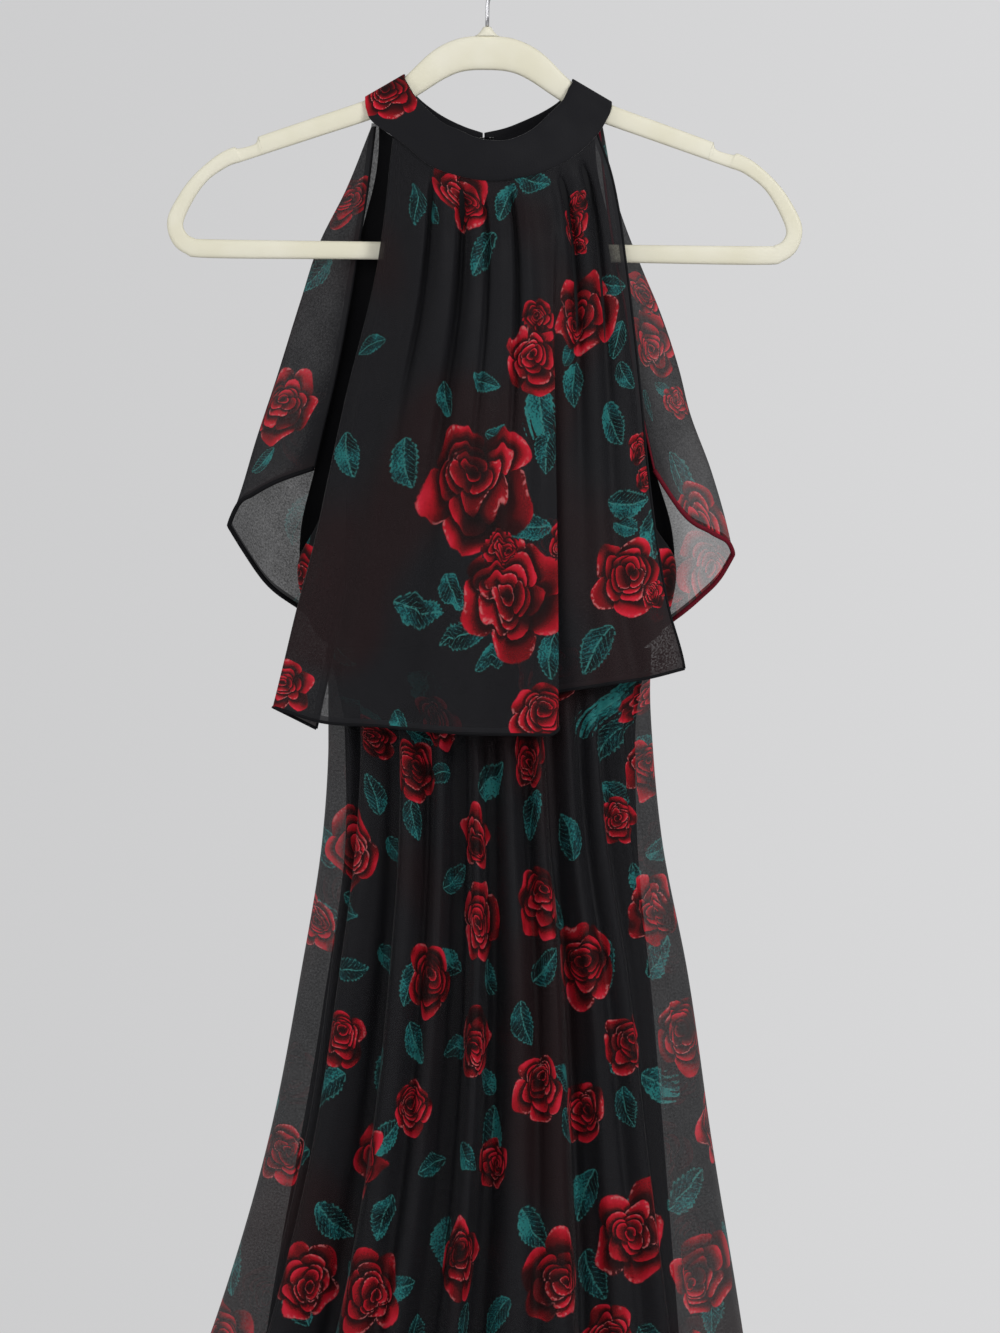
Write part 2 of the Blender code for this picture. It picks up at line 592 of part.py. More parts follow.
def build_overlay_front(material):
    """The popover front: small pleats under the band and one deep pleat that falls to the hem."""
    rows, left_columns, turn_columns, right_columns = 16, 17, 6, 8
    numbered = [("left", j / (left_columns - 1)) for j in range(left_columns)]
    numbered += [("turn", j / turn_columns) for j in range(1, turn_columns)]
    numbered += [("right", j / (right_columns - 1)) for j in range(right_columns)]
    top_left = OVERLAY_SIDES[0][1]
    top_right = OVERLAY_SIDES[0][2]
    grid = []
    for i in range(rows):
        v = i / (rows - 1)
        left_z = mix(OVERLAY_SIDES[0][0], OVERLAY_LEFT_HEM_Z, v)
        right_z = mix(OVERLAY_SIDES[0][0], OVERLAY_RIGHT_HEM_Z, v)
        left_x = float(column(OVERLAY_SIDES, left_z, 1))
        right_x = float(column(OVERLAY_SIDES, right_z, 2))
        open_share = ease(v * 1.1)
        drop = PLEAT_DROP * ease(v * 1.5)
        turn_x = PLEAT_X - PLEAT_TURN
        after_x = turn_x + mix(PLEAT_STEP, -PLEAT_TUCK, open_share)
        curl = mix(*PLEAT_CURL, open_share)
        line = []
        for part, share in numbered:
            if part == "left":
                x = mix(left_x, turn_x, share)
                top_x = mix(top_left, turn_x, share)
                hem_z = float(column(HEM_LEFT, mix(HEM_LEFT[0][0], PLEAT_X, share), 1))
                behind = 0.0
            elif part == "turn":
                rest = 1 - share
                x = (turn_x * rest ** 3 + 3 * (turn_x + curl) * rest ** 2 * share
                     + 3 * (after_x - curl) * rest * share ** 2 + after_x * share ** 3)
                top_x = mix(turn_x, turn_x + PLEAT_STEP, share)
                hem_z = mix(HEM_LEFT[-1][1], HEM_RIGHT[0][1], share)
                behind = ease(share)
            else:
                x = mix(after_x, right_x, share)
                top_x = mix(turn_x + PLEAT_STEP, top_right, share)
                hem_z = float(column(HEM_RIGHT, mix(HEM_RIGHT[0][0], HEM_RIGHT[-1][0], share), 1))
                behind = (1 - share) ** 0.7
            seam_z, seam_y = seam_point(BAND_FRONT, top_x)
            z = mix(seam_z - SEAM - BAND / 2, hem_z, v)
            middle_y = float(column(OVERLAY_DEPTH, z, 1))
            side_y = float(column(OVERLAY_DEPTH, z, 2 if x < 0 else 3))
            across = min(1.0, abs(x) / abs(left_x if x < 0 else right_x))
            y = side_y + (middle_y - side_y) * (1 - across ** 2.3) + drop * behind
            y = mix(seam_y, y, ease(v / 0.14))
            place = (x - left_x) / (right_x - left_x)
            for centre, at_band, at_hem, half in OVERLAY_PLEATS:
                depth = mix(at_band, at_hem, v) * ease(v * 6)
                y += depth * bump(place, centre, half)
            line.append((x, y, z))
        grid.append(line)
    wall("overlay_front", grid, CLOTH, material)


def build_overlay_back(material):
    """Two halves that meet at the centre back, each folded forward at the outline as a soft wing."""
    rows, near_columns, far_columns = 15, 6, 17
    for name, side, wing, near_hem, far_hem in (
            ("overlay_back_left", -1, WING_LEFT, NEAR_HEM_LEFT, FAR_HEM_LEFT),
            ("overlay_back_right", 1, WING_RIGHT, NEAR_HEM_RIGHT, FAR_HEM_RIGHT)):
        seam_left_x = wing[0][2]
        middle_x = BACK_MIDDLE_X + side * HALF_SEAM
        spots = [("near", j / near_columns) for j in range(near_columns)]
        spots += [("far", (j / (far_columns - 1)) ** FAR_SPREAD) for j in range(far_columns)]
        grid = []
        for i in range(rows):
            v = i / (rows - 1)
            line = []
            for part, share in spots:
                if part == "near":
                    z = mix(NEAR_TOP_Z, float(column(near_hem, share, 1)), v)
                    join_x = float(column(wing, z, 1))
                    fold_x = float(column(wing, z, 2))
                    fold_y = float(column(wing, z, 3))
                    x = mix(join_x, fold_x, math.sin(share * math.pi / 2))
                    y = mix(NEAR_Y, fold_y, 1 - math.cos(share * math.pi / 2))
                    y += NEAR_BOW * math.sin(math.pi * share) * math.sin(math.pi * v)
                else:
                    top_x = mix(seam_left_x, middle_x, share)
                    seam_z, seam_y = seam_point(BAND_BACK, top_x)
                    top_z = min(seam_z, FAR_TOP_Z) - SEAM - BAND / 2
                    z = mix(top_z, float(column(far_hem, share, 1)), v)
                    fold_x = float(column(wing, z, 2))
                    fold_y = float(column(wing, z, 3))
                    x = mix(fold_x, middle_x, share)
                    back_y = float(column(BACK_DEPTH, z, 1))
                    y = mix(fold_y, back_y, math.sin(share ** BACK_ROUND * math.pi / 2))
                    for centre, depth, half in WING_FOLDS:
                        y -= depth * bump(share, centre, half) * ease(v * 1.2)
                    top_y = mix(fold_y, max(seam_y, fold_y), ease(share * FOLD_SHARE))
                    y = mix(top_y, y, ease(v / TOP_BLEND))
                line.append((x, y, z))
            grid.append(line)
        wall(name, grid, CLOTH, material)


def skirt_grid(table, sign, folds, ridges, rows, columns):
    """One half of a hanging ring whose folds deepen towards the hem."""
    top_z = table[0][0]
    hem_z = table[-1][0]
    depth_column = 3 if sign < 0 else 4
    grid = []
    for i in range(rows):
        v = i / (rows - 1)
        z = mix(top_z, hem_z, v ** SKIRT_SPREAD)
        down = (z - top_z) / (hem_z - top_z)
        left = float(column(table, z, 1))
        right = float(column(table, z, 2))
        deep = float(column(table, z, depth_column))
        gain = float(column(table, z, 5))
        centre = (left + right) / 2
        reach = (right - left) / 2
        line = []
        for j in range(columns):
            angle = math.pi * (j / (columns - 1) - 0.5)
            across = math.sin(angle)
            inward = 0.0
            for at_waist, at_hem, depth, half in folds:
                inward += depth * bump(angle, math.asin(mix(at_waist, at_hem, down)), half * 2)
            for at_waist, at_hem, depth, half in ridges:
                inward -= depth * bump(angle, math.asin(mix(at_waist, at_hem, down)), half * 2)
            # Folds fade out at the side seams, where the front and back walls meet
            inward *= gain * ease((1 - abs(j / (columns - 1) - 0.5) * 2) * SIDE_FADE)
            x = centre + (reach - inward * abs(across)) * across
            y = deep * math.cos(angle) - sign * inward * math.cos(angle) ** 0.5 if abs(across) < 0.9999 else 0.0
            line.append((x, y + sign * HALF_SEAM, z))
        grid.append(line)
    return grid


def build_skirt(chiffon, lining):
    wall("skirt_front", skirt_grid(SKIRT, -1, FRONT_FOLDS, FRONT_RIDGES, 12, 35), CLOTH, chiffon, True)
    wall("skirt_back", skirt_grid(SKIRT, 1, BACK_FOLDS, BACK_RIDGES, 13, 35), CLOTH, chiffon, True)
    wall("skirt_lining_front", skirt_grid(LINING, -1, LINING_FOLDS, (), 8, 17), CLOTH, lining, True)
    wall("skirt_lining_back", skirt_grid(LINING, 1, LINING_FOLDS, (), 8, 17), CLOTH, lining, True)


def main():
    for old in list(bpy.data.objects):
        bpy.data.objects.remove(old, do_unlink=True)
    ivory = painted("ivory", IVORY, 0.6)
    steel = painted("steel", STEEL, 0.25, 1.0)
    black = painted("black_lining", BLACK, 0.7)
    band = painted("band", BLACK, 0.75)
    chiffon = painted("chiffon", CHIFFON, 0.7)
    build_hanger(ivory, steel)
    build_neckband(band)
    build_closure(steel)
    build_underbodice(black)
    build_overlay_front(chiffon)
    build_overlay_back(chiffon)
    build_skirt(chiffon, black)


main()
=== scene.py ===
"""Looks of the halter-neck maxi dress on its hanger: chiffon shells, print, hems, band, wire and light.

The shells repeat the tables of the part's source, in metres, with finer folds between the main ones.
"""
import math

import bpy
import numpy as np
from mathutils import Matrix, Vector


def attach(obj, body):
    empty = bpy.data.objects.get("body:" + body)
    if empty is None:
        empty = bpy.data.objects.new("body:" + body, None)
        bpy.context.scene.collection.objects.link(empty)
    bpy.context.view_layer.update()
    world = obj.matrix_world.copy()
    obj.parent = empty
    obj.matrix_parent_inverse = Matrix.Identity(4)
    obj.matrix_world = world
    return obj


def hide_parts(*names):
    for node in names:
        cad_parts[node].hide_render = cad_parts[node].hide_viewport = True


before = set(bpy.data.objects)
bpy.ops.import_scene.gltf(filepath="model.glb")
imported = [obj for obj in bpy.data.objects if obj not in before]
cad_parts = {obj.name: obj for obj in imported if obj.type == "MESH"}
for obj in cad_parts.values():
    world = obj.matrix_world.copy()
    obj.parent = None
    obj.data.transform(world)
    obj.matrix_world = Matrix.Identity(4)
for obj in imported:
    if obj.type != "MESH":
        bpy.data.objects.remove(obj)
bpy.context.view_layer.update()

# Photograph: one pixel of the close view and of the whole view, and what lies at which pixel
CLOSE_SCALE = 0.000693
CLOSE_X, CLOSE_Y, CLOSE_TOP_Z = 488.5, 27.0, -0.0700
WHOLE_SCALE = 0.0020
WHOLE_X, WHOLE_Y, WHOLE_TOP_Z = 488.0, 793.0, -0.1070
PHOTO_WIDTH, PHOTO_HEIGHT = 1000, 1333
LENS = 250.0
SENSOR = 36.0

# Sizes that the part's source also holds
CLOTH = 0.0012
BAND = 0.0016
SEAM = 0.0004
HALF_SEAM = SEAM / 2
WAIST_Z = -0.500
HEM_Z = -1.530
LINING_HEM_Z = -1.455
TILT = math.radians(0.72)
HANGER_DEPTH = 0.007
HOOK_INSIDE = 0.019
WIRE = 0.0026
COLLAR_TOP_Z = -0.0700
COLLAR_BASE_Z = -0.0759
COLLAR_RADIUS = 0.0070
COLLAR_TIP_RADIUS = 0.0030
HOOK_END_Z = -0.0740
HOOK_NECK_Z = (-0.0560, -0.0620)
HOOK_TURN = (200, -40)
HOOK_SWEEP = 0.011
NEAR_TOP_Z = -0.1385
FAR_TOP_Z = -0.1355

# Sizes of the scene alone: where cloth laps over at its seams, its turned hem, and the tables' top row
SEAM_LAP = -0.0005
WAIST_LAP = 0.0040
SIDE_LAP = 0.0003
TURNED_HEM = 0.0042
BODICE_TOP_Z = -0.1380

# outer x, outer z, inner x, inner z
HANGER = (
    (0.0000, -0.0762, 0.0000, -0.0998),
    (0.0190, -0.0780, 0.0160, -0.1010),
    (0.0375, -0.0870, 0.0290, -0.1062),
    (0.0575, -0.1060, 0.0465, -0.1175),
    (0.0710, -0.1148, 0.0630, -0.1275),
    (0.0852, -0.1223, 0.0794, -0.1350),
    (0.1200, -0.1346, 0.1155, -0.1473),
    (0.1545, -0.1468, 0.1500, -0.1590),
    (0.1578, -0.1486, 0.1540, -0.1604),
    (0.1602, -0.1532, 0.1570, -0.1614),
    (0.1712, -0.1564, 0.1670, -0.1648),
    (0.1752, -0.1556, 0.1705, -0.1660),
    (0.1870, -0.1618, 0.1790, -0.1692),
    (0.2020, -0.1752, 0.1920, -0.1785),
    (0.2125, -0.1895, 0.2012, -0.1910),
    (0.2200, -0.2060, 0.2086, -0.2070),
    (0.2170, -0.2210, 0.2073, -0.2145),
    (0.2070, -0.2298, 0.2015, -0.2186),
    (0.1900, -0.2325, 0.1885, -0.2195),
    (0.0950, -0.2322, 0.0950, -0.2197),
    (0.0000, -0.2320, 0.0000, -0.2198),
)
# Where the neckband lies over a hanger arm: y, rise
CREST = ((HALF_SEAM, 0.0015), (0.0028, 0.0013), (0.0048, -0.0012))
CREST_NECK_X = 0.0585
CREST_SEAM_X = 0.0848
# Neckband, left to right: neck x, neck z, seam x, seam z, y
BAND_FRONT = (
    (-0.0565, -0.1100, -0.0838, -0.1275, -0.0056),
    (-0.0500, -0.1205, -0.0790, -0.1365, -0.0090),
    (-0.0336, -0.1365, -0.0580, -0.1515, -0.0165),
    (-0.0204, -0.1432, -0.0400, -0.1665, -0.0220),
    (-0.0090, -0.1485, -0.0190, -0.1742, -0.0262),
    (0.0030, -0.1508, 0.0020, -0.1774, -0.0280),
    (0.0150, -0.1500, 0.0210, -0.1752, -0.0268),
    (0.0300, -0.1430, 0.0400, -0.1702, -0.0225),
    (0.0430, -0.1310, 0.0600, -0.1590, -0.0165),
    (0.0520, -0.1215, 0.0752, -0.1440, -0.0095),
    (0.0562, -0.1130, 0.0828, -0.1310, -0.0056),
)
BAND_BACK = (
    (-0.0565, -0.1100, -0.0838, -0.1275, 0.0056),
    (-0.0482, -0.1199, -0.0770, -0.1362, 0.0100),
    (-0.0336, -0.1305, -0.0560, -0.1500, 0.0180),
    (-0.0180, -0.1380, -0.0300, -0.1640, 0.0240),
    (-0.0035, -0.1425, -0.0035, -0.1695, 0.0275),
    (0.0110, -0.1395, 0.0180, -0.1672, 0.0262),
    (0.0232, -0.1351, 0.0350, -0.1610, 0.0225),
    (0.0380, -0.1285, 0.0560, -0.1500, 0.0165),
    (0.0495, -0.1213, 0.0730, -0.1390, 0.0100),
    (0.0562, -0.1130, 0.0828, -0.1310, 0.0056),
)
BACK_MIDDLE_X = -0.0035
CLOSURE_GAP = 0.0012
# Front overlay: z, left x, right x
OVERLAY_SIDES = (
    (-0.1460, -0.0662, 0.0752),
    (-0.1700, -0.0690, 0.0838),
    (-0.1970, -0.0718, 0.0897),
    (-0.2315, -0.0766, 0.0945),
    (-0.3285, -0.0994, 0.1055),
    (-0.3770, -0.1098, 0.1100),
    (-0.4352, -0.1223, 0.1175),
    (-0.4719, -0.1320, 0.1240),
    (-0.5121, -0.1415, 0.1348),
    (-0.5419, -0.1487, 0.1380),
)
OVERLAY_LEFT_HEM_Z = -0.5419
OVERLAY_RIGHT_HEM_Z = -0.5150
HEM_LEFT = ((-0.1487, -0.5419), (-0.1133, -0.5512), (-0.0613, -0.5551), (-0.0128, -0.5590),
            (0.0475, -0.5606))
HEM_RIGHT = ((0.0330, -0.5330), (0.0495, -0.5295), (0.0773, -0.5250), (0.1050, -0.5222), (0.1348, -0.5150))
PLEAT_X = 0.0475
PLEAT_TURN = 0.0050
PLEAT_STEP = 0.0080
PLEAT_TUCK = 0.0060
PLEAT_CURL = (0.0020, 0.0220)
PLEAT_DROP = 0.0160
# z, middle y, left side y, right side y
OVERLAY_DEPTH = (
    (-0.1460, -0.0290, -0.0110, -0.0100),
    (-0.1900, -0.0380, -0.0125, -0.0120),
    (-0.2315, -0.0450, -0.0140, -0.0135),
    (-0.3300, -0.0570, -0.0190, -0.0165),
    (-0.4350, -0.0650, -0.0270, -0.0230),
    (-0.5600, -0.0650, -0.0340, -0.0290),
)
# Share of the way across, depth at the band, depth at the hem, half width
OVERLAY_PLEATS = (
    (0.100, 0.0010, 0.0060, 0.055),
    (0.205, 0.0050, 0.0010, 0.040),
    (0.320, 0.0025, 0.0050, 0.050),
    (0.520, 0.0020, 0.0015, 0.040),
    (0.680, 0.0025, 0.0060, 0.060),
    (0.810, 0.0050, 0.0010, 0.045),
)
# z, front left x, front right x, back left x, back right x
BODICE_SIDES = (
    (-0.1380, -0.0610, 0.0700, -0.0760, 0.0740),
    (-0.1900, -0.0665, 0.0780, -0.0840, 0.0820),
    (-0.2330, -0.0715, 0.0850, -0.0920, 0.0900),
    (-0.2800, -0.0800, 0.0920, -0.0995, 0.0975),
    (-0.3285, -0.0930, 0.0985, -0.1098, 0.1060),
    (-0.3770, -0.1050, 0.1050, -0.1215, 0.1165),
    (-0.4140, -0.1200, 0.1160, -0.1300, 0.1270),
    (-0.4340, -0.1310, 0.1290, -0.1310, 0.1290),
    (-0.4700, -0.1270, 0.1260, -0.1270, 0.1260),
    (-0.5000, -0.1130, 0.1130, -0.1130, 0.1130),
)
# z, front middle y, front side y, back middle y, back side y
BODICE_DEPTH = (
    (-0.1380, -0.0235, -0.0095, 0.0230, 0.0115),
    (-0.1900, -0.0235, -0.0095, 0.0230, 0.0115),
    (-0.2330, -0.0280, -0.0095, 0.0260, 0.0120),
    (-0.3285, -0.0325, -0.0095, 0.0310, 0.0120),
    (-0.3900, -0.0340, -0.0070, 0.0330, 0.0090),
    (-0.4340, -0.0350, 0.0, 0.0340, 0.0),
    (-0.5000, -0.0340, 0.0, 0.0330, 0.0),
)
# z, join x, fold x, fold y
WING_LEFT = (
    (-0.1380, -0.0785, -0.0812, 0.0115),
    (-0.1830, -0.0840, -0.0994, 0.0120),
    (-0.2176, -0.0895, -0.1168, 0.0130),
    (-0.2592, -0.0960, -0.1306, 0.0150),
    (-0.3146, -0.1065, -0.1480, 0.0180),
    (-0.3562, -0.1165, -0.1618, 0.0200),
    (-0.3909, -0.1240, -0.1722, 0.0220),
    (-0.4151, -0.1270, -0.1805, 0.0230),
    (-0.5600, -0.1270, -0.1840, 0.0260),
)
WING_RIGHT = (
    (-0.1380, 0.0765, 0.0792, 0.0115),
    (-0.1940, 0.0825, 0.0905, 0.0120),
    (-0.2329, 0.0885, 0.1050, 0.0135),
    (-0.2661, 0.0950, 0.1189, 0.0150),
    (-0.3077, 0.1010, 0.1327, 0.0175),
    (-0.3354, 0.1060, 0.1396, 0.0190),
    (-0.3770, 0.1150, 0.1549, 0.0215),
    (-0.4340, 0.1270, 0.1700, 0.0240),
    (-0.5600, 0.1290, 0.1720, 0.0260),
)
NEAR_HEM_LEFT = ((0.0, -0.3756), (0.35, -0.3850), (0.60, -0.3936), (0.85, -0.4013), (1.0, -0.4151))
NEAR_HEM_RIGHT = ((0.0, -0.3770), (0.20, -0.4060), (0.50, -0.4200), (0.85, -0.4285), (1.0, -0.4355))
FAR_HEM_LEFT = ((0.0, -0.4151), (0.06, -0.4311), (0.15, -0.4532), (0.29, -0.4726), (0.55, -0.5030),
                (0.80, -0.5260), (1.0, -0.5350))
FAR_HEM_RIGHT = ((0.0, -0.4355), (0.05, -0.4498), (0.14, -0.4657), (0.26, -0.4823), (0.50, -0.5060),
                 (0.80, -0.5270), (1.0, -0.5350))
NEAR_Y = 0.0068
BACK_DEPTH = ((-0.1700, 0.0300), (-0.2300, 0.0450), (-0.3300, 0.0580), (-0.4400, 0.0640), (-0.5600, 0.0660))
WING_FOLDS = ((0.22, 0.0055, 0.060), (0.44, 0.0070, 0.070), (0.66, 0.0060, 0.060), (0.87, 0.0050, 0.060))
# z, left x, right x, front y, back y, share of the full fold depth
SKIRT = (
    (WAIST_Z - HALF_SEAM, -0.1130, 0.1130, -0.0340, 0.0330, 0.00),
    (-0.5300, -0.1110, 0.1120, -0.0350, 0.0360, 0.07),
    (-0.5700, -0.1110, 0.1140, -0.0380, 0.0400, 0.15),
    (-0.6310, -0.1150, 0.1200, -0.0460, 0.0480, 0.28),
    (-0.7250, -0.1300, 0.1380, -0.0600, 0.0600, 0.40),
    (-0.8430, -0.1530, 0.1550, -0.0720, 0.0730, 0.54),
    (-0.9590, -0.1870, 0.1740, -0.0840, 0.0850, 0.64),
    (-1.0610, -0.2250, 0.1890, -0.0950, 0.0970, 0.73),
    (-1.1830, -0.2680, 0.2060, -0.1070, 0.1100, 0.82),
    (-1.3000, -0.3070, 0.2230, -0.1180, 0.1220, 0.89),
    (-1.4200, -0.3430, 0.2420, -0.1290, 0.1330, 0.95),
    (HEM_Z, -0.3720, 0.2600, -0.1380, 0.1420, 1.00),
)
# share across at the waist, share across at the hem, depth at the hem, half width
FRONT_FOLDS = (
    (-0.93, -0.88, 0.026, 0.075),
    (-0.62, -0.56, 0.034, 0.095),
    (-0.22, -0.23, 0.046, 0.085),
    (0.05, 0.04, 0.038, 0.065),
    (0.40, 0.56, 0.036, 0.085),
    (0.82, 0.88, 0.026, 0.070),
)
BACK_FOLDS = (
    (-0.90, -0.86, 0.026, 0.080),
    (-0.55, -0.60, 0.044, 0.095),
    (-0.24, -0.27, 0.034, 0.075),
    (0.06, 0.09, 0.046, 0.090),
    (0.42, 0.45, 0.036, 0.080),
    (0.82, 0.80, 0.028, 0.080),
)
FRONT_RIDGES = ((-0.78, -0.73, 0.010, 0.060), (-0.42, -0.40, 0.018, 0.080), (-0.08, -0.09, 0.016, 0.055),
                (0.22, 0.28, 0.018, 0.085), (0.60, 0.75, 0.012, 0.070))
BACK_RIDGES = ((-0.74, -0.74, 0.014, 0.070), (-0.40, -0.43, 0.018, 0.065), (-0.08, -0.08, 0.016, 0.075),
               (0.24, 0.28, 0.018, 0.080), (0.62, 0.63, 0.016, 0.070))
LINING_GAP = CLOTH + SEAM
LINING = (
    (WAIST_Z - HALF_SEAM, -0.1130 + LINING_GAP, 0.1130 - LINING_GAP, -0.0340 + LINING_GAP,
     0.0330 - LINING_GAP, 0.0),
    (-0.5500, -0.1000, 0.1020, -0.0275, 0.0275, 0.05),
    (-0.6310, -0.0990, 0.1030, -0.0300, 0.0300, 0.1),
    (-0.7500, -0.1150, 0.1140, -0.0390, 0.0390, 0.25),
    (-0.9500, -0.1500, 0.1300, -0.0540, 0.0560, 0.5),
    (-1.1800, -0.1830, 0.1480, -0.0660, 0.0690, 0.75),
    (LINING_HEM_Z, -0.2180, 0.1680, -0.0800, 0.0830, 1.0),
)
LINING_AIR = 0.0015
LINING_FOLDS = ((-0.50, -0.52, 0.012, 0.16), (0.02, 0.0, 0.014, 0.16), (0.50, 0.54, 0.012, 0.16))

# How the front overlay's left side is folded back: width at the band and at the hem, gap, fall at the hem
FOLD_BACK_WIDTH = (0.0040, 0.0300)
FOLD_BACK_AIR = 0.0060
FOLD_BACK_DROP = 0.0150
FOLD_BACK_COLUMNS = 10

# The part of a wing that the photograph shows, which has few motifs
WING_BARE = 0.150

# Each cut piece laid flat, in metres, and the area of it that shows
OVERLAY_FRONT_CUT = ((0.36, 0.42), 0.115)
OVERLAY_BACK_CUT = ((0.30, 0.40), 0.062)
UNDERBODICE_CUT = ((0.28, 0.37), 0.080)
SKIRT_CUT = ((0.90, 1.05), 0.60)
LINING_CUT = ((0.55, 0.96), 0.36)

# Grids: rows, then columns; the front overlay's columns lie left of its pleat, in it and right of it, and a
# wing's before and after its fold
OVERLAY_GRID = (150, 104, 26, 34)
WING_GRID = (130, 40, 84)
BODICE_GRID = (90, 90)
SKIRT_GRID = (210, 200)
LINING_GRID = (90, 90)
HANGER_STEPS = 5
HANGER_AROUND = 20
COLLAR_AROUND = 40
BAND_ACROSS = 9
BAND_STEPS = 7

# Soft unevenness of the cloth, in metres
BAND_WAVE = 0.00035
BODICE_WAVE = 0.0006
OVERLAY_WAVE = 0.0011
OVERLAY_HEM_WAVE = 0.0012
WING_WAVE = 0.0012
WING_BELLY = 0.0025
SKIRT_GATHER = 0.0016
SKIRT_WAVE = 0.0022
SKIRT_HEM_WAVE = 0.004

# Half widths of the rolled hems and edges
OVERLAY_HEM = 0.0011
OVERLAY_EDGE = 0.0009
WING_HEM = 0.0016
ARMHOLE_EDGE = 0.0008
SKIRT_HEM = 0.0010
LINING_HEM = 0.0012
HEM_FLATNESS = 0.62

# Motifs that fill the cloth, roses and leaves: smallest and largest radius, and how far apart they keep
SKIRT_FILL = (((0.018, 0.034), 2.5), ((0.013, 0.021), 2.3))
SKIRT_TRIES = 900
WING_FILL = (((0.018, 0.034), 2.4), ((0.013, 0.020), 2.2))
WING_TRIES = 300

# Finer folds of the front overlay: share across at the band, at the hem, depth at the band, at the hem,
# half width. Troughs are positive.
OVERLAY_CREASES = (
    (0.035, 0.045, 0.0006, -0.0030, 0.022),
    (0.120, 0.110, -0.0020, 0.0024, 0.026),
    (0.192, 0.170, 0.0085, 0.0006, 0.010),
    (0.250, 0.215, -0.0034, 0.0009, 0.022),
    (0.335, 0.320, 0.0115, 0.0030, 0.018),
    (0.388, 0.375, -0.0026, -0.0012, 0.018),
    (0.440, 0.450, 0.0065, 0.0008, 0.010),
    (0.500, 0.520, -0.0020, 0.0016, 0.020),
    (0.566, 0.570, 0.0090, 0.0014, 0.011),
    (0.620, 0.620, -0.0024, -0.0026, 0.024),
    (0.745, 0.735, 0.0010, -0.0014, 0.012),
    (0.800, 0.790, 0.0072, 0.0010, 0.012),
    (0.850, 0.830, -0.0024, -0.0018, 0.020),
    (0.905, 0.880, 0.0074, 0.0034, 0.013),
    (0.955, 0.950, -0.0010, -0.0024, 0.016),
)
# Finer folds of the skirt: share across at the waist, at the hem, full depth, half width
FRONT_FINE = (
    (-0.84, -0.81, 0.012, 0.024), (-0.74, -0.70, -0.010, 0.030), (-0.62, -0.58, 0.014, 0.022),
    (-0.52, -0.48, -0.010, 0.028), (-0.40, -0.38, 0.016, 0.022), (-0.30, -0.29, -0.010, 0.026),
    (-0.19, -0.20, 0.018, 0.024), (-0.09, -0.10, -0.012, 0.022), (0.00, -0.02, 0.018, 0.020),
    (0.10, 0.10, -0.012, 0.026), (0.21, 0.24, 0.016, 0.022), (0.29, 0.38, -0.009, 0.022),
    (0.36, 0.48, 0.014, 0.018), (0.46, 0.62, -0.009, 0.022), (0.56, 0.74, 0.012, 0.022),
    (0.70, 0.82, 0.010, 0.026), (0.80, 0.88, -0.008, 0.026), (0.93, 0.95, 0.007, 0.030),
)
BACK_FINE = (
    (-0.86, -0.85, 0.010, 0.026), (-0.76, -0.75, -0.009, 0.028), (-0.66, -0.67, 0.012, 0.022),
    (-0.54, -0.57, -0.010, 0.028), (-0.44, -0.47, 0.014, 0.024), (-0.33, -0.36, -0.010, 0.026),
    (-0.22, -0.24, 0.016, 0.022), (-0.12, -0.12, -0.011, 0.024), (-0.01, 0.00, 0.015, 0.022),
    (0.10, 0.11, -0.010, 0.024), (0.20, 0.22, 0.015, 0.024), (0.31, 0.34, -0.010, 0.026),
    (0.42, 0.45, 0.014, 0.022), (0.54, 0.56, -0.009, 0.026), (0.64, 0.66, 0.012, 0.022),
    (0.76, 0.77, -0.008, 0.028), (0.88, 0.88, 0.010, 0.026),
)


def column(table, at, which):
    """A value of a table's named column at a value of its first column, joined by a smooth curve."""
    keys = np.array([row[0] for row in table])
    values = np.array([row[which] for row in table])
    if keys[0] > keys[-1]:
        keys = keys[::-1]
        values = values[::-1]
    slopes = np.gradient(values, keys)
    at = np.clip(at, keys[0], keys[-1])
    low = np.clip(np.searchsorted(keys, at) - 1, 0, len(keys) - 2)
    span = keys[low + 1] - keys[low]
    t = (at - keys[low]) / span
    rise = values[low + 1] - values[low]
    limit = 3 * np.abs(rise / span)
    start = np.clip(slopes[low], -limit, limit) * span
    end = np.clip(slopes[low + 1], -limit, limit) * span
    return (values[low] + start * t + (3 * rise - 2 * start - end) * t ** 2
            + (start + end - 2 * rise) * t ** 3)


def bump(at, centre, half_width):
    return np.exp(-((at - centre) / half_width) ** 2)


def mix(a, b, share):
    return a + (b - a) * share


def down_share(rows):
    return np.linspace(0, 1, rows)[:, None]


def across_share(columns):
    return np.linspace(0, 1, columns)[None, :]


def ease(share):
    share = np.clip(share, 0.0, 1.0)
    return share * share * (3 - 2 * share)


def ripple(u, v, cells, seed):
    """Smooth noise between -1 and 1 over a grid, cells waves across and down."""
    rng = np.random.default_rng(seed)
    across, down = cells
    knots = rng.uniform(-1, 1, (down + 3, across + 3))
    x = np.clip(u, 0, 1) * across
    y = np.clip(v, 0, 1) * down
    xi = np.minimum(x.astype(int), across)
    yi = np.minimum(y.astype(int), down)
    fx = ease(x - xi)
    fy = ease(y - yi)
    top = mix(knots[yi, xi], knots[yi, xi + 1], fx)
    low = mix(knots[yi + 1, xi], knots[yi + 1, xi + 1], fx)
    return mix(top, low, fy)


def tilted(x, z):
    """A point of the upright hanger, leaned as it hangs."""
    return x * math.cos(TILT) + z * math.sin(TILT), -x * math.sin(TILT) + z * math.cos(TILT)


def arm_top(x):
    """Height of the hanger arm's upper edge at an x."""
    edge = [tilted(math.copysign(row[0], x), row[1]) for row in HANGER[2:8]]
    return float(np.interp(abs(x), [abs(p[0]) for p in edge], [p[1] for p in edge]))


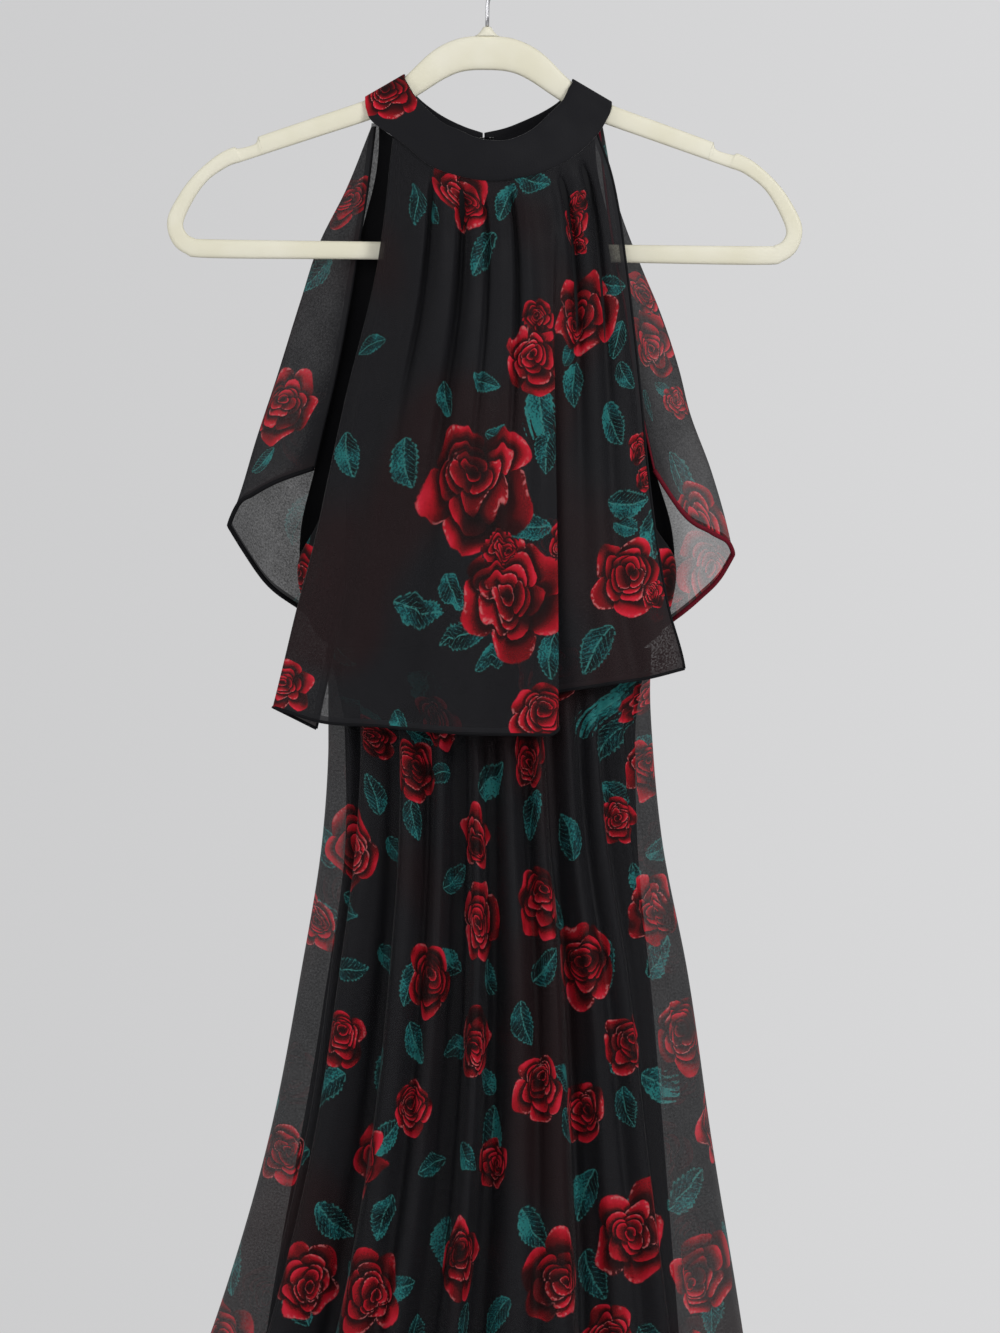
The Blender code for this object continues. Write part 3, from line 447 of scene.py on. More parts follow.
def close_place(px, py):
    """Where a pixel of the close view lies in the hanger's plane: x, z."""
    return (px - CLOSE_X) * CLOSE_SCALE, CLOSE_TOP_Z - (py - CLOSE_Y) * CLOSE_SCALE


def whole_place(px, py):
    """Where a pixel of the whole view lies: x, z."""
    return (px - WHOLE_X) * WHOLE_SCALE, WHOLE_TOP_Z - (py - WHOLE_Y) * WHOLE_SCALE


# Geometry shared by all cloth

def cloth_lengths(grid):
    """Metres along the cloth: across each row from its middle column, and down each column."""
    across = np.zeros(grid.shape[:2])
    across[:, 1:] = np.cumsum(np.linalg.norm(np.diff(grid, axis=1), axis=2), axis=1)
    across -= across[:, grid.shape[1] // 2][:, None]
    down = np.zeros(grid.shape[:2])
    down[1:] = np.cumsum(np.linalg.norm(np.diff(grid, axis=0), axis=2), axis=0)
    # Rows that start at different heights share one count of length, from the top of the middle column
    down -= (grid[0, :, 2] - grid[0, grid.shape[1] // 2, 2])[None, :]
    return np.stack([across, down], axis=2)


def grid_faces(rows, columns):
    i, j = np.meshgrid(np.arange(rows - 1), np.arange(columns - 1), indexing="ij")
    a = (i * columns + j).ravel()
    return np.stack([a, a + columns, a + columns + 1, a + 1], axis=1)


# How far from a motif's middle its print can reach, along and across, where 1 is its radius, and a place
# that is clear of every motif
ROSE_REACH = (1.42, 1.42)
LEAF_REACH = (1.25, 1.05)
CLEAR = 9.0


def motif_coordinates(lengths, faces, motifs):
    """For each corner of each face, its place in the nearest motif: 1 is the motif's edge; and a seed."""
    flat = lengths.reshape(-1, 2)
    corners = flat[faces]
    out = np.full((*corners.shape[:2], 3), CLEAR)
    if not len(motifs):
        return out.reshape(-1, 3)
    middle = corners.mean(axis=1)
    table = np.array(motifs)
    away = np.linalg.norm(middle[:, None, :] - table[None, :, :2], axis=2) / table[None, :, 2]
    nearest = away.argmin(axis=1)
    chosen = table[nearest]
    offset = (corners - chosen[:, None, :2]) / chosen[:, None, 2:3]
    turn = np.radians(chosen[:, 3])[:, None]
    out[:, :, 0] = offset[:, :, 0] * np.cos(turn) + offset[:, :, 1] * np.sin(turn)
    out[:, :, 1] = -offset[:, :, 0] * np.sin(turn) + offset[:, :, 1] * np.cos(turn)
    out[:, :, 2] = chosen[:, 4][:, None]
    return out.reshape(-1, 3)


def mesh_object(name, verts, faces, material):
    mesh = bpy.data.meshes.new(name)
    mesh.from_pydata([tuple(map(float, v)) for v in verts], [], [tuple(map(int, f)) for f in faces])
    mesh.materials.append(material)
    mesh.shade_smooth()
    piece = bpy.data.objects.new(name, mesh)
    bpy.context.collection.objects.link(piece)
    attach(piece, "root")
    return piece


def store(mesh, label, domain, values):
    """Keeps values on the mesh as a named attribute: three numbers each, or one for "bunched"."""
    kind, field = ("FLOAT", "value") if label == "bunched" else ("FLOAT_VECTOR", "vector")
    layer = mesh.attributes.new(label, kind, domain)
    layer.data.foreach_set(field, values.ravel().astype(np.float32))


def edge_distance(lengths, turned):
    """Metres to the nearest turned edge: the named ends of each row, and with them the last row."""
    across = lengths[:, :, 0]
    away = np.full(across.shape, 1.0)
    if "start" in turned:
        away = np.minimum(away, across - across[:, :1])
    if "end" in turned:
        away = np.minimum(away, across[:, -1:] - across)
    if turned:
        away = np.minimum(away, lengths[-1:, :, 1] - lengths[:, :, 1])
    return away


def sheet_object(name, grid, material, roses=(), leaves=(), turned=(), bunched=None):
    """A single-surface cloth over a grid, with the print's coordinates and the cloth's own lengths.

    Its material may be four: plain cloth, cloth with a rose on it, with a leaf, and with both.
    """
    kinds = material if isinstance(material, tuple) else (material,)
    faces = grid_faces(*grid.shape[:2])
    lengths = cloth_lengths(grid)
    piece = mesh_object(name, grid.reshape(-1, 3), faces, kinds[0])
    mesh = piece.data
    store(mesh, "cloth", "POINT", np.dstack((lengths, edge_distance(lengths, turned))))
    if bunched is not None:
        store(mesh, "bunched", "POINT", bunched)
    kind = np.zeros(len(faces), dtype=int)
    for weight, label, motifs, reach in ((1, "rose_at", roses, ROSE_REACH),
                                         (2, "leaf_at", leaves, LEAF_REACH)):
        corners = motif_coordinates(lengths, faces, motifs)
        store(mesh, label, "CORNER", corners)
        near = (np.abs(corners[:, :2]) < reach).all(axis=1).reshape(-1, 4).any(axis=1)
        kind += weight * near
    if len(kinds) > 1:
        for other in kinds[1:]:
            mesh.materials.append(other)
        mesh.polygons.foreach_set("material_index", kind)
    return piece


def rolled_edge(name, path, radius, flatness, material, sides=8):
    """A narrow rolled hem: a tube along a path, flattened across the cloth."""
    path = np.array(path)
    ahead = np.gradient(path, axis=0)
    ahead /= np.linalg.norm(ahead, axis=1, keepdims=True)
    side = np.cross(ahead, np.array([0.0, 1.0, 0.0]))
    side /= np.maximum(np.linalg.norm(side, axis=1, keepdims=True), 1e-9)
    other = np.cross(side, ahead)
    verts = []
    for k in range(sides):
        angle = 2 * math.pi * k / sides
        verts.append(path + side * radius * math.cos(angle) + other * radius * flatness * math.sin(angle))
    verts = np.stack(verts, axis=1)
    count = len(path)
    faces = []
    for i in range(count - 1):
        for k in range(sides):
            a = i * sides + k
            b = i * sides + (k + 1) % sides
            faces.append((a, b, b + sides, a + sides))
    faces.append(tuple(range(sides))[::-1])
    faces.append(tuple((count - 1) * sides + k for k in range(sides)))
    return mesh_object(name, verts.reshape(-1, 3), faces, material)


# Shader arithmetic

class Wire:
    """A number carried by a node's output, so that sums over nodes read as arithmetic."""

    def __init__(self, tree, socket):
        self.tree = tree
        self.socket = socket

    def math(self, operation, *others):
        node = self.tree.nodes.new("ShaderNodeMath")
        node.operation = operation
        for slot, value in zip(node.inputs, (self, *others)):
            if isinstance(value, Wire):
                self.tree.links.new(value.socket, slot)
            else:
                slot.default_value = float(value)
        return Wire(self.tree, node.outputs[0])

    def __add__(self, other):
        return self.math("ADD", other)

    def __sub__(self, other):
        return self.math("SUBTRACT", other)

    def __rsub__(self, other):
        return (self * -1.0).math("ADD", other)

    def __mul__(self, other):
        return self.math("MULTIPLY", other)

    def __truediv__(self, other):
        return self.math("DIVIDE", other)

    def __pow__(self, other):
        return self.math("POWER", other)

    def absolute(self):
        return self.math("ABSOLUTE")

    def cosine(self):
        return self.math("COSINE")

    def sine(self):
        return self.math("SINE")

    def step(self, low, high):
        """0 below low, 1 above high, smooth between; the other way round if low is above high."""
        node = self.tree.nodes.new("ShaderNodeMapRange")
        node.interpolation_type = "SMOOTHSTEP"
        node.inputs["From Min"].default_value = min(low, high)
        node.inputs["From Max"].default_value = max(low, high)
        self.tree.links.new(self.socket, node.inputs["Value"])
        found = Wire(self.tree, node.outputs["Result"])
        return found if low < high else 1.0 - found

    def blend(self, other, share):
        return self + (other - self) * share


def set_inputs(tree, node, values):
    """Gives each named input a number, a Wire or another node's output."""
    for label, value in values.items():
        if isinstance(value, float):
            node.inputs[label].default_value = value
        else:
            tree.links.new(value.socket if isinstance(value, Wire) else value, node.inputs[label])


def motif_group(name):
    """An empty node group that takes a place in the motif, and that place's parts: x, y and seed."""
    group = bpy.data.node_groups.new(name, "ShaderNodeTree")
    group.interface.new_socket("At", in_out="INPUT", socket_type="NodeSocketVector")
    return group, split(group, group.nodes.new("NodeGroupInput").outputs["At"])


def close_group(group, values):
    """The group with its outputs, in the order in which they are named."""
    for label in values:
        group.interface.new_socket(label, in_out="OUTPUT", socket_type="NodeSocketFloat")
    set_inputs(group, group.nodes.new("NodeGroupOutput"), values)
    return group


def split(tree, socket):
    node = tree.nodes.new("ShaderNodeSeparateXYZ")
    tree.links.new(socket, node.inputs[0])
    return [Wire(tree, out) for out in node.outputs]


def join(tree, x, y, z):
    node = tree.nodes.new("ShaderNodeCombineXYZ")
    for slot, value in zip(node.inputs, (x, y, z)):
        if isinstance(value, Wire):
            tree.links.new(value.socket, slot)
        else:
            slot.default_value = float(value)
    return node.outputs[0]


def noise_outputs(tree, vector, scale, detail):
    node = tree.nodes.new("ShaderNodeTexNoise")
    set_inputs(tree, node, {"Scale": scale, "Detail": detail, "Vector": vector})
    return node.outputs


def noise(tree, vector, scale, detail):
    """Noise about zero as three numbers, each within about 0.5, and as one number about 0.5."""
    found = noise_outputs(tree, vector, scale, detail)
    return [part - 0.5 for part in split(tree, found["Color"])], Wire(tree, found["Fac"])


def noise_value(tree, vector, scale, detail=0.0):
    """Noise as one number about 0.5."""
    return Wire(tree, noise_outputs(tree, vector, scale, detail)["Fac"])


# A rose's petals, outermost first: reach, number of petals, first petal's angle, depth of the dents
ROSE_RINGS = (
    (0.98, 5, 0.3, 0.24),
    (0.77, 5, 1.1, 0.24),
    (0.56, 4, 2.0, 0.26),
    (0.37, 3, 0.6, 0.30),
    (0.19, 2, 1.7, 0.34),
)
# How far a bloom's core sits off its middle
CORE_SHIFT = 0.34


def rose_group():
    """From a place in the motif to how much of it is rose, how bright a petal is, and its pale lip."""
    tree, (x, y, seed) = motif_group("rose")
    around, patch = noise(tree, join(tree, x, y, seed * 3.7), 1.3, 0.0)
    fine, speck = noise(tree, join(tree, x, y, seed * 1.3), 13.0, 1.0)
    x = x + around[0] * 0.50 + fine[0] * 0.035
    y = y + around[1] * 0.50 + fine[1] * 0.035
    core_x = (seed * 2.1).sine() * CORE_SHIFT
    core_y = (seed * 1.7).cosine() * CORE_SHIFT
    tone = None
    for k, (radius, petals, first, dent) in enumerate(ROSE_RINGS):
        off_x = x - core_x * (1.0 - radius)
        off_y = y - core_y * (1.0 - radius)
        reach = (off_x * off_x + off_y * off_y) ** 0.5
        angle = off_y.math("ARCTAN2", off_x)
        turns = (angle - first - seed * (1.0 + 0.37 * k)) * (petals / (2 * math.pi))
        share = turns.math("FRACT")
        lobe = (turns * math.pi).sine().absolute() ** 0.5
        edge = (lobe * dent + (1.0 - dent)) * radius
        edge = edge * (1.0 + 0.10 * math.cos(2.0 * k)) + (angle + seed).sine() * 0.05 * radius
        depth = reach / edge
        inside = depth.step(1.02, 0.98)
        # A petal is dark at its foot and where its neighbour lies over it, and lit towards its lip
        overlap = share.step(0.0, 0.55) * 0.62 + 0.38
        foot = depth.math("MINIMUM", 1.0) ** 2.6 * 0.86 + 0.10
        lit = foot * overlap * (around[2] * 1.3 + 1.02)
        lit = lit + fine[2] * 0.16 * foot
        rim = depth.step(0.91, 0.97) * inside
        dashes = speck.step(0.47, 0.56) * patch.step(0.50, 0.60)
        if tone is None:
            tone = lit
            mask = inside
            lip = rim * dashes
        else:
            cast = depth.step(0.98, 1.30)
            tone = (tone * (cast * 0.80 + 0.20)).blend(lit, inside)
            lip = (lip * (1.0 - inside)).math("MAXIMUM", rim * dashes)
    # The bloom sinks into the ground in places
    sunk = (around[0] + around[1]).step(-0.42, -0.05) * 0.72 + 0.28
    return close_group(tree, {"Mask": mask, "Tone": tone * sunk, "Lip": lip * sunk})


def leaf_group():
    """From a place in the motif, x along the leaf, to how much of it is leaf, its tone and its veins.

    A seed under zero makes a ragged spray of strokes instead of a blade.
    """
    tree, (x, y, seed) = motif_group("leaf")
    around, _ = noise(tree, join(tree, x, y, seed * 2.9), 1.3, 0.0)
    fine, speck = noise(tree, join(tree, x, y, seed * 1.9), 12.0, 1.5)
    spray = seed.step(0.0, -0.5)
    y = y + x * x * 0.14 + around[1] * 0.24
    x = x + around[0] * 0.15
    body = (1.0 - x * x).math("MAXIMUM", 0.0)
    width = body ** 0.75 * 0.56 * (1.0 - x * 0.22)
    strokes = (y * 26.0 + x * 5.0).sine() * spray * 0.36 * x.step(-0.5, 0.9)
    teeth = ((x - y.absolute() * 0.5) * 30.0).sine() * 0.032 + fine[0] * 0.11
    inside = (y.absolute() - width - (teeth + strokes) * body.step(0.0, 0.3)).step(0.02, -0.02)
    inside = inside * body.step(0.0, 0.04)
    ribs = ((x - y.absolute() * 0.95) * 15.0 + fine[1] * 1.5).sine().absolute()
    veins = ribs.step(0.34, 0.04) * 0.75
    middle = y.absolute().step(0.055, 0.015)
    lip = (y.absolute() - width).step(-0.11, -0.03) * 0.7
    vein = veins.math("MAXIMUM", middle).math("MAXIMUM", lip) * speck.step(0.36, 0.52)
    side = y.step(-0.05, 0.05) * 0.30
    tone = around[2] * 1.6 + side + 0.26 + fine[1] * 1.6
    tone = tone + spray * 0.25
    return close_group(tree, {"Mask": inside, "Tone": tone, "Vein": vein})


def ramp(tree, value, stops):
    node = tree.nodes.new("ShaderNodeValToRGB")
    elements = node.color_ramp.elements
    for _ in range(len(stops) - 2):
        elements.new(0.5)
    for element, (place, colour) in zip(elements, stops):
        element.position = place
        element.color = (*colour, 1.0)
    tree.links.new(value.socket, node.inputs["Fac"])
    return node.outputs["Color"]


def colour_mix(tree, first, second, share):
    """From the first colour to the second, each three numbers or a node's output."""
    node = tree.nodes.new("ShaderNodeMix")
    node.data_type = "RGBA"
    tree.links.new(share.socket, node.inputs["Factor"])
    for slot, value in ((node.inputs[6], first), (node.inputs[7], second)):
        if isinstance(value, tuple):
            slot.default_value = (*value, 1.0)
        else:
            tree.links.new(value, slot)
    return node.outputs[2]


def attribute(tree, name, output="Vector"):
    node = tree.nodes.new("ShaderNodeAttribute")
    node.attribute_name = name
    return node.outputs[output]


def material_base(name):
    material = bpy.data.materials.new(name)
    material.use_nodes = True
    tree = material.node_tree
    return material, tree, tree.nodes["Principled BSDF"]


CRIMSON = ((0.0, (0.0030, 0.0006, 0.0008)), (0.22, (0.030, 0.0008, 0.0016)),
           (0.48, (0.175, 0.0016, 0.0050)), (0.76, (0.46, 0.0036, 0.0150)), (1.0, (0.66, 0.0160, 0.0400)))
PALE_LIP = (0.66, 0.20, 0.20)
TEAL = ((0.0, (0.0015, 0.0050, 0.0062)), (0.40, (0.0028, 0.021, 0.025)), (0.70, (0.0050, 0.080, 0.088)),
        (1.0, (0.0180, 0.19, 0.185)))
TEAL_VEIN = (0.050, 0.25, 0.230)
GROUND = (0.0086, 0.0085, 0.0106)
GROUND_WARM = (0.0135, 0.0054, 0.0064)
# How much of what is behind it a layer of chiffon hides, and the same where it is turned in
COVER = 0.775
TURNED_COVER = 0.965


def motif_over(tree, ground, group, place, stops, line_colour, line_share):
    """The ground with one kind of motif printed over it."""
    node = tree.nodes.new("ShaderNodeGroup")
    node.node_tree = group
    tree.links.new(attribute(tree, place), node.inputs["At"])
    mask, tone, line = (Wire(tree, out) for out in node.outputs)
    colour = colour_mix(tree, ramp(tree, tone, stops), line_colour, line * line_share)
    return colour_mix(tree, ground, colour, mask)


def print_colour(tree, ground, rose, leaf):
    """The printed cloth's colour: leaves over the ground, and roses over both."""
    colour = ground
    if leaf:
        colour = motif_over(tree, colour, leaf, "leaf_at", TEAL, TEAL_VEIN, 0.75)
    if rose:
        colour = motif_over(tree, colour, rose, "rose_at", CRIMSON, PALE_LIP, 0.70)
    return colour


def relief(tree, height, strength, depth):
    """The normal of a surface that a height roughens."""
    node = tree.nodes.new("ShaderNodeBump")
    set_inputs(tree, node, {"Strength": strength, "Distance": depth, "Height": height})
    return node.outputs["Normal"]


def own_place(tree):
    return tree.nodes.new("ShaderNodeTexCoord").outputs["Object"]


def chiffon_material(name, rose, leaf):
    """Sheer crepe chiffon: the print, a fine crepe in its bump, and light that comes through.

    The third part of "cloth" is how far the cloth's edge is, where it is turned in and so less clear.
    """
    material, tree, shader = material_base(name)
    cloth = attribute(tree, "cloth")
    edge = split(tree, cloth)[2]
    bunched = Wire(tree, attribute(tree, "bunched", "Fac"))
    crepe = noise_value(tree, cloth, 720.0)
    cloud = noise_value(tree, cloth, 45.0, 1.0)
    haze = noise_value(tree, cloth, 9.0)
    ground = colour_mix(tree, GROUND, GROUND_WARM, haze.step(0.52, 0.72))
    alpha = bunched + (crepe - 0.5) * 0.22 + (cloud - 0.5) * 0.08 + COVER
    set_inputs(tree, shader, {
        "Base Color": print_colour(tree, ground, rose, leaf),
        "Alpha": alpha.math("MAXIMUM", edge.step(TURNED_HEM * 1.1, TURNED_HEM) * TURNED_COVER),
        "Roughness": cloud * 0.16 + 0.58, "Normal": relief(tree, crepe, 0.35, 0.0002),
        "Sheen Weight": 0.07, "Sheen Roughness": 0.35, "Specular IOR Level": 0.18})
    return material


def printed_kinds(make, name, rose, leaf, *extra):
    """The same cloth plain, with a rose on it, with a leaf, and with both."""
    return (make(f"{name}_plain", None, None, *extra), make(f"{name}_rose", rose, None, *extra),
            make(f"{name}_leaf", None, leaf, *extra), make(f"{name}_both", rose, leaf, *extra))


def cloth_material(name, rose, leaf, colour, sheen=0.05, weave=1100.0):
    """Opaque woven cloth, plain or printed."""
    material, tree, shader = material_base(name)
    cloth = attribute(tree, "cloth")
    grain = noise_value(tree, cloth, weave)
    cloud = noise_value(tree, cloth, 40.0, 1.0)
    if rose or leaf:
        shade = print_colour(tree, colour, rose, leaf)
    else:
        shade = colour_mix(tree, colour, tuple(c * 1.7 for c in colour), cloud)
    set_inputs(tree, shader, {
        "Base Color": shade, "Roughness": cloud * 0.2 + 0.6, "Normal": relief(tree, grain, 0.4, 0.00025),
        "Sheen Weight": sheen, "Sheen Roughness": 0.4, "Specular IOR Level": 0.14})
    return material


def hem_material(name, colour):
    """Rolled hem: cloth turned over twice, with a thread's beat along it."""
    material, tree, shader = material_base(name)
    grain = noise_value(tree, own_place(tree), 700.0, 2.0)
    set_inputs(tree, shader, {
        "Base Color": colour_mix(tree, colour, tuple(c * 2.2 for c in colour), grain),
        "Roughness": grain * 0.2 + 0.55, "Normal": relief(tree, grain, 0.5, 0.0003),
        "Sheen Weight": 0.02, "Specular IOR Level": 0.10})
    return material


def hanger_material():
    """Ivory plastic with a faint mottling and softer gloss in places."""
    material, tree, shader = material_base("hanger_ivory")
    cloud = noise_value(tree, own_place(tree), 22.0, 3.0)
    grain = noise_value(tree, own_place(tree), 900.0, 2.0)
    set_inputs(tree, shader, {
        "Base Color": colour_mix(tree, (0.80, 0.765, 0.60), (0.86, 0.83, 0.69), cloud.step(0.3, 0.7)),
        "Roughness": cloud * 0.15 + 0.42, "Normal": relief(tree, grain, 0.15, 0.0002)})
    return material


def hook_material():
    """Black-lacquered steel of the hook and eye, worn bright in places."""
    material, tree, shader = material_base("hook_steel")
    wear = noise_value(tree, own_place(tree), 900.0, 1.0)
    set_inputs(tree, shader, {
        "Base Color": colour_mix(tree, (0.02, 0.02, 0.022), (0.45, 0.45, 0.46), wear.step(0.52, 0.62)),
        "Roughness": wear * 0.2 + 0.2, "Metallic": 1.0})
    return material


def wire_material():
    """Polished wire with fine drawing marks."""
    material, tree, shader = material_base("wire_chrome")
    grain = noise_value(tree, own_place(tree), 400.0, 2.0)
    set_inputs(tree, shader, {
        "Base Color": colour_mix(tree, (0.55, 0.55, 0.57), (0.78, 0.78, 0.80), grain),
        "Roughness": grain * 0.15 + 0.16, "Metallic": 1.0})
    return material


# Hanger

def smooth_loop(points, per_step):
    """A closed loop of rows, each refined by a Catmull-Rom curve."""
    rows = np.array(points)
    finer = []
    count = len(rows)
    for i in range(count):
        a, b, c, d = (rows[(i + k) % count] for k in (-1, 0, 1, 2))
        for k in range(per_step):
            t = k / per_step
            finer.append(0.5 * (2 * b + (c - a) * t + (2 * a - 5 * b + 4 * c - d) * t * t
                                + (3 * b - a - 3 * c + d) * t ** 3))
    return np.array(finer)


def build_hanger(ivory, wire):
    """The frame, a flat oval bar that follows a closed loop, and then its collar and hook."""
    left = [(-a, b, -c, d) for a, b, c, d in HANGER[1:-1]]
    loop = smooth_loop(list(HANGER) + left[::-1], HANGER_STEPS)
    around = HANGER_AROUND
    verts = []
    for outer_x, outer_z, inner_x, inner_z in loop:
        width = math.hypot(outer_x - inner_x, outer_z - inner_z)
        for k in range(around):
            # A flat oval: a superellipse across the frame
            angle = 2 * math.pi * k / around
            c, s = math.cos(angle), math.sin(angle)
            share = 0.5 - 0.5 * math.copysign(abs(c) ** 0.62, c)
            deep = math.copysign(abs(s) ** 0.5, s) * HANGER_DEPTH / 2 * min(1.0, width / 0.011)
            x, z = tilted(mix(outer_x, inner_x, share), mix(outer_z, inner_z, share))
            verts.append((x, deep, z))
    faces = []
    for i in range(len(loop)):
        here = i * around
        after = (i + 1) % len(loop) * around
        for j in range(around):
            k = (j + 1) % around
            faces.append((here + j, here + k, after + k, after + j))
    body = mesh_object("hanger_frame", verts, faces, ivory)
    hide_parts("hanger_body")
    build_collar(ivory)
    build_hook(wire)


def build_collar(material):
    """A cone that flares into the frame, round at its tip and as thin as the frame at its foot."""
    wide, tip, foot, top = COLLAR_RADIUS, COLLAR_TIP_RADIUS, COLLAR_BASE_Z, COLLAR_TOP_Z
    profile = [(wide * 1.25, foot - 0.0004), (wide, foot + 0.0004), (wide * 0.82, foot + 0.0016),
               (wide * 0.62, foot + 0.0032), (tip * 1.1, top - 0.0010), (tip * 0.9, top),
               (WIRE / 2 + 0.0002, top + 0.0001), (WIRE / 2 + 0.0001, top - 0.002)]
    steps = COLLAR_AROUND
    verts = []
    for i in range(steps):
        angle = 2 * math.pi * i / steps
        for radius, z in profile:
            flat = max(0.0, (radius - COLLAR_TIP_RADIUS) / (COLLAR_RADIUS - COLLAR_TIP_RADIUS))
            deep = radius * mix(1.0, HANGER_DEPTH / 2 / COLLAR_RADIUS, min(flat, 1.2))
            x, zz = tilted(radius * math.cos(angle), z)
            verts.append((x, deep * math.sin(angle), zz))
    faces = []
    count = len(profile)
    for i in range(steps):
        a = i * count
        b = (i + 1) % steps * count
        for j in range(count - 1):
            faces.append((a + j, b + j, b + j + 1, a + j + 1))
    faces.append(tuple(i * count for i in range(steps))[::-1])
    collar = mesh_object("hanger_boss", verts, faces, material)
    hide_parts("hanger_collar")


def hook_route():
    """The hook's middle line: an arc over the rail, then a bend down into the collar."""
    radius = HOOK_INSIDE + WIRE / 2
    first, last = HOOK_TURN
    route = []
    for degrees in range(first, last - 1, -4):
        angle = math.radians(degrees)
        route.append((radius * math.cos(angle), -HOOK_INSIDE + radius * math.sin(angle)))
    start = np.array(route[-1])
    leave = np.array([math.sin(angle), -math.cos(angle)]) * HOOK_SWEEP
    end = np.array([0.0, HOOK_NECK_Z[0]])
    arrive = np.array([0.0, HOOK_SWEEP])
    for t in np.arange(1, 17) / 16:
        route.append(tuple((1 - t) ** 3 * start + 3 * (1 - t) ** 2 * t * (start + leave)
                           + 3 * (1 - t) * t ** 2 * (end + arrive) + t ** 3 * end))
    route += [(0.0, HOOK_NECK_Z[1]), (0.0, HOOK_END_Z)]
    return [tilted(x, z) for x, z in route]


def build_hook(wire):
    route = [(x, 0.0, z) for x, z in hook_route()]
    hook = rolled_edge("hanger_wire", route, WIRE / 2, 1.0, wire, 14)
    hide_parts("hanger_hook")


# Neckband

def crest_row(side, which, front):
    """A row of the band where it lies over a hanger arm."""
    y, rise = CREST[which]
    neck_x = side * CREST_NECK_X
    seam_x = side * CREST_SEAM_X
    return neck_x, arm_top(neck_x) + rise, seam_x, arm_top(seam_x) + rise, -y if front else y


def band_rows(table, front):
    left = [crest_row(-1, k, front) for k in range(len(CREST))]
    right = [crest_row(1, k, front) for k in reversed(range(len(CREST)))]
    return left + list(table) + right


def smooth_rows(rows):
    """A table's rows with finer ones between them, joined by smooth curves."""
    numbered = [(float(k), *row) for k, row in enumerate(rows)]
    at = np.arange((len(rows) - 1) * BAND_STEPS + 1) / BAND_STEPS
    return np.stack([column(numbered, at, c) for c in range(1, 6)], axis=1)


def band_surface(rows, outward):
    """Mid surface of the band, across points from its neck edge to its seam."""
    neck_x, neck_z, seam_x, seam_z, y = rows.T
    share = down_share(BAND_ACROSS)
    proud = 0.0012 * np.sin(np.pi * share) * outward * np.minimum(1.0, np.abs(y) / 0.01)
    slope = 0.0014 * (share - 0.5) * outward * np.minimum(1.0, np.abs(y) / 0.02)
    return np.stack([mix(neck_x, seam_x, share), y + proud + slope, mix(neck_z, seam_z, share)], axis=2)


def thick_sheet(name, middle, thickness, material, roses=()):
    """A band of even thickness whose long edges are rounded, as a folded and pressed strip."""
    down = np.gradient(middle, axis=0)
    normal = np.cross(down, np.gradient(middle, axis=1))
    normal *= thickness / 2 / np.linalg.norm(normal, axis=2, keepdims=True)
    inward = down * (thickness / 2) / np.linalg.norm(down, axis=2, keepdims=True)
    rim = [math.pi * k / 4 for k in (1, 2, 3)]
    loops = list(middle + normal)
    loops += [middle[-1] + normal[-1] * math.cos(angle) + inward[-1] * math.sin(angle) for angle in rim]
    loops += list((middle - normal)[::-1])
    loops += [middle[0] - normal[0] * math.cos(angle) - inward[0] * math.sin(angle) for angle in rim]
    grid = np.stack([*loops, loops[0]])
    rows, columns = grid.shape[0] - 1, grid.shape[1]
    i, j = np.meshgrid(np.arange(rows), np.arange(columns - 1), indexing="ij")
    a = (i * columns + j).ravel()
    b = ((i + 1) % rows * columns + j).ravel()
    faces = np.stack([a, a + 1, b + 1, b], axis=1)
    ends = [tuple(range(0, rows * columns, columns)),
            tuple(range(columns - 1, rows * columns, columns))[::-1]]
    lengths = cloth_lengths(grid)
    piece = mesh_object(name, grid[:rows].reshape(-1, 3), [*faces, *ends], material)
    mesh = piece.data
    store(mesh, "cloth", "POINT", np.dstack((lengths[:rows], np.zeros((rows, columns)))))
    for label, motifs in (("rose_at", placed_motifs(grid, lengths, roses)), ("leaf_at", ())):
        corners = np.full((len(mesh.loops), 3), CLEAR)
        found = motif_coordinates(lengths[:rows], faces, motifs)
        corners[:len(found)] = found
        store(mesh, label, "CORNER", corners)
    return piece


def build_neckband(material):
    middle = band_surface(smooth_rows(band_rows(BAND_FRONT, True)), -1)
    middle[:, :, 1] += BAND_WAVE * ripple(across_share(middle.shape[1]), down_share(BAND_ACROSS), (11, 2), 3)
    piece = thick_sheet("neckband_front_cloth", middle, BAND, material, BAND_ROSES)
    finish_band("neckband_front")
    back = band_rows(BAND_BACK, False)
    middle_row = next(k for k, row in enumerate(back) if row[0] == BACK_MIDDLE_X)
    for name, rows, side in (("neckband_back_left", back[:middle_row + 1], -1),
                             ("neckband_back_right", back[middle_row:], 1)):
        rows = [list(row) for row in rows]
        end = rows[-1] if side < 0 else rows[0]
        end[0] += side * CLOSURE_GAP / 2
        end[2] += side * CLOSURE_GAP / 2
        piece = thick_sheet(f"{name}_cloth", band_surface(smooth_rows(rows), 1), BAND, material)
        finish_band(name)


def finish_band(node):
    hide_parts(node)


def seam_point(table, x):
    """Height and depth of the band's seam at an x."""
    rows = [row[2:] for row in table]
    return column(rows, x, 1), column(rows, x, 2)


# Bodice and overlay

